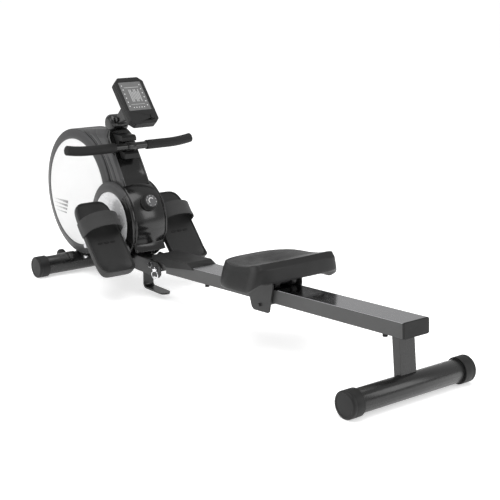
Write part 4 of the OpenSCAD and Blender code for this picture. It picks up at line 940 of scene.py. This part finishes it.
def seat_skin():
    """Nested outlines from the underside up the wall to the middle of the top. The rear wall stands upright
    under a bevel strip, and the side walls lean out and droop as wings."""
    w = np.linspace(0, 2 * np.pi, 288, endpoint=False)
    power = np.where(np.cos(w) > 0, 8.0, 2.6)
    ca = np.sign(np.cos(w)) * np.abs(np.cos(w)) ** (2 / power)
    sb = np.sign(np.sin(w)) * np.abs(np.sin(w)) ** (2 / power)
    rearward = np.clip((ca - 0.55) / 0.40, 0, 1) ** 1.5
    wing = np.clip((np.abs(sb) - 0.30) / 0.60, 0, 1) ** 1.3 * (1 - rearward)
    low = 0.036 - 0.028 * wing

    def top(a, b):
        """Height of the pad's top over (a, b): a straight rear ridge, a hollow middle, drooping sides."""
        u, v = a / seat_half_d, b / seat_half_w
        ridge = 0.014 * np.clip((u - 0.20) / 0.65, 0, 1) ** 1.4
        dip = -0.007 * np.exp(-(v / 0.34) ** 2) * np.exp(-((u - 0.10) / 0.55) ** 2)
        droop = -0.007 * np.abs(v) ** 3 * np.clip(1 - np.clip(u, 0, 1) / 0.7, 0, 1)
        nose = -0.006 * np.clip((-u - 0.45) / 0.55, 0, 1) ** 1.5
        return 0.0790 + ridge + dip + droop + nose

    rings = [on_seat(ca * seat_half_d * 0.80, sb * seat_half_w * 0.72, np.full(len(w), 0.0405)),
             on_seat(ca * seat_half_d * 0.93, sb * seat_half_w * 0.92, low + 0.004),
             on_seat(ca * seat_half_d * 0.985, sb * seat_half_w * 0.985, low)]
    edge = top(ca * seat_half_d * 0.90, sb * seat_half_w * 0.86)
    # the wall: share of its height, then how far the rear and the wings have moved in
    for rise, rear_in, wing_in in ((0.05, 0.0, 0.0), (0.20, 0.0, 0.012), (0.38, 0.0, 0.040), (0.56, 0.001, 0.072),
                                   (0.70, 0.002, 0.098), (0.735, 0.005, 0.106), (0.80, 0.030, 0.120),
                                   (0.88, 0.058, 0.132), (0.95, 0.082, 0.142), (0.985, 0.096, 0.150)):
        shrink_a = 1 - rear_in * (0.35 + 0.65 * rearward)
        shrink_b = 1 - wing_in * (0.30 + 0.70 * wing)
        rings.append(on_seat(ca * seat_half_d * shrink_a, sb * seat_half_w * shrink_b, low + rise * (edge - low)))
    # a welt line, then the top
    welt = {0.892: 0.0008, 0.868: -0.0014, 0.856: 0.0004}
    for share in (0.892, 0.880, 0.868, 0.856, 0.80, 0.72, 0.62, 0.50, 0.38, 0.26, 0.14, 0.05):
        a, b = ca * seat_half_d * share, sb * seat_half_w * share * (0.955 + 0.045 * (1 - share))
        rings.append(on_seat(a, b, top(a, b) + welt.get(share, 0.0)))
    return np.stack(rings)


seat_finish, seat_tree, seat_shader, seat_here = new_finish("seat_skin")
skin_grain = placed(seat_tree, grain_group, seat_here, Grain=520.0, Drift=16.0)
skin_marks = placed(seat_tree, marks_group, seat_here, Smudge=14.0, Scratch=40.0)
crease = seat_tree.nodes.new("ShaderNodeTexVoronoi")
crease.feature = "DISTANCE_TO_EDGE"
crease.inputs["Scale"].default_value = 420
seat_tree.links.new(seat_here, crease.inputs["Vector"])
seat_tree.links.new(colour_mix(seat_tree, skin_grain.outputs["Drift"], (0.010, 0.010, 0.010), (0.022, 0.022, 0.022)),
                    seat_shader.inputs["Base Color"])
seat_tree.links.new(ranged(seat_tree, skin_marks.outputs["Smudge"], 0.36, 0.50), seat_shader.inputs["Roughness"])
bumped(seat_tree, seat_shader, ranged(seat_tree, crease.outputs["Distance"], 0.0, 1.0, 0.0, 0.12), 0.16, 0.0003)
pad = surface("seat_pad", seat_skin(), seat_finish, close_v=True, cap=True, body="seat", stands_for=["seat_cushion"])
smooth = pad.modifiers.new("smooth", "SUBSURF")
smooth.levels = smooth.render_levels = 1

# ---------- console ----------
# A small computer on a tilting arm: a grey liquid-crystal panel behind the front's window, shown with plain
# bars and dots, and one dark key.
lcd, lcd_tree, lcd_shader, lcd_here = new_finish("grey_panel", coat=0.5)
lcd_noise = noise_in(lcd_tree, 60, 3)
lcd_tree.links.new(lcd_here, lcd_noise.inputs["Vector"])
lcd_tree.links.new(colour_mix(lcd_tree, lcd_noise.outputs["Fac"], (0.10, 0.10, 0.10), (0.14, 0.14, 0.14)),
                   lcd_shader.inputs["Base Color"])
lcd_shader.inputs["Roughness"].default_value = 0.35
dress("console_display", lcd, 0.0)
face_tilt = math.radians(39.8)
face_out = np.array([math.cos(face_tilt), 0, math.sin(face_tilt)])
face_up = np.array([-math.sin(face_tilt), 0, math.cos(face_tilt)])
face_mid = np.array([-0.3905, 0, 0.645])


def screen_blocks(name, rects, finish):
    """Thin raised rectangles (across, up, half width, half height) on the panel."""
    depth, thick = 0.0013, 0.0004
    rects = np.array(rects, float)
    sx = np.array([-1, 1, 1, -1])
    sz = np.array([-1, -1, 1, 1])
    a = rects[:, 0:1] + sx * rects[:, 2:3]
    b = rects[:, 1:2] + sz * rects[:, 3:4]
    place = face_mid + a[..., None] * np.array([0, 1, 0]) + b[..., None] * face_up
    upper, lower = place - face_out * depth, place - face_out * (depth + thick)
    return blocks(name, upper, lower, finish, "console")


pale = plain_finish("panel_pale", (0.30, 0.30, 0.30), (0.36, 0.36, 0.36), (0.4, 0.5), bump=0.0)
bars = [(-0.014 + 0.0058 * k, 0.020, 0.0020, 0.024 if k not in (2, 5) else 0.015) for k in range(7)]
bars += [(0.0, 0.052, 0.028, 0.0012), (0.0, -0.014, 0.026, 0.0010)]
screen_blocks("panel_bars", bars, pale)
dots = [(s * 0.034, 0.060 - 0.016 * k, 0.0016, 0.0016) for k in range(6) for s in (-1, 1)]
dots += [(-0.020 + 0.010 * k, -0.026, 0.0014, 0.0014) for k in range(5)]
screen_blocks("panel_dots", dots, mark_white)

bpy.context.view_layer.update()
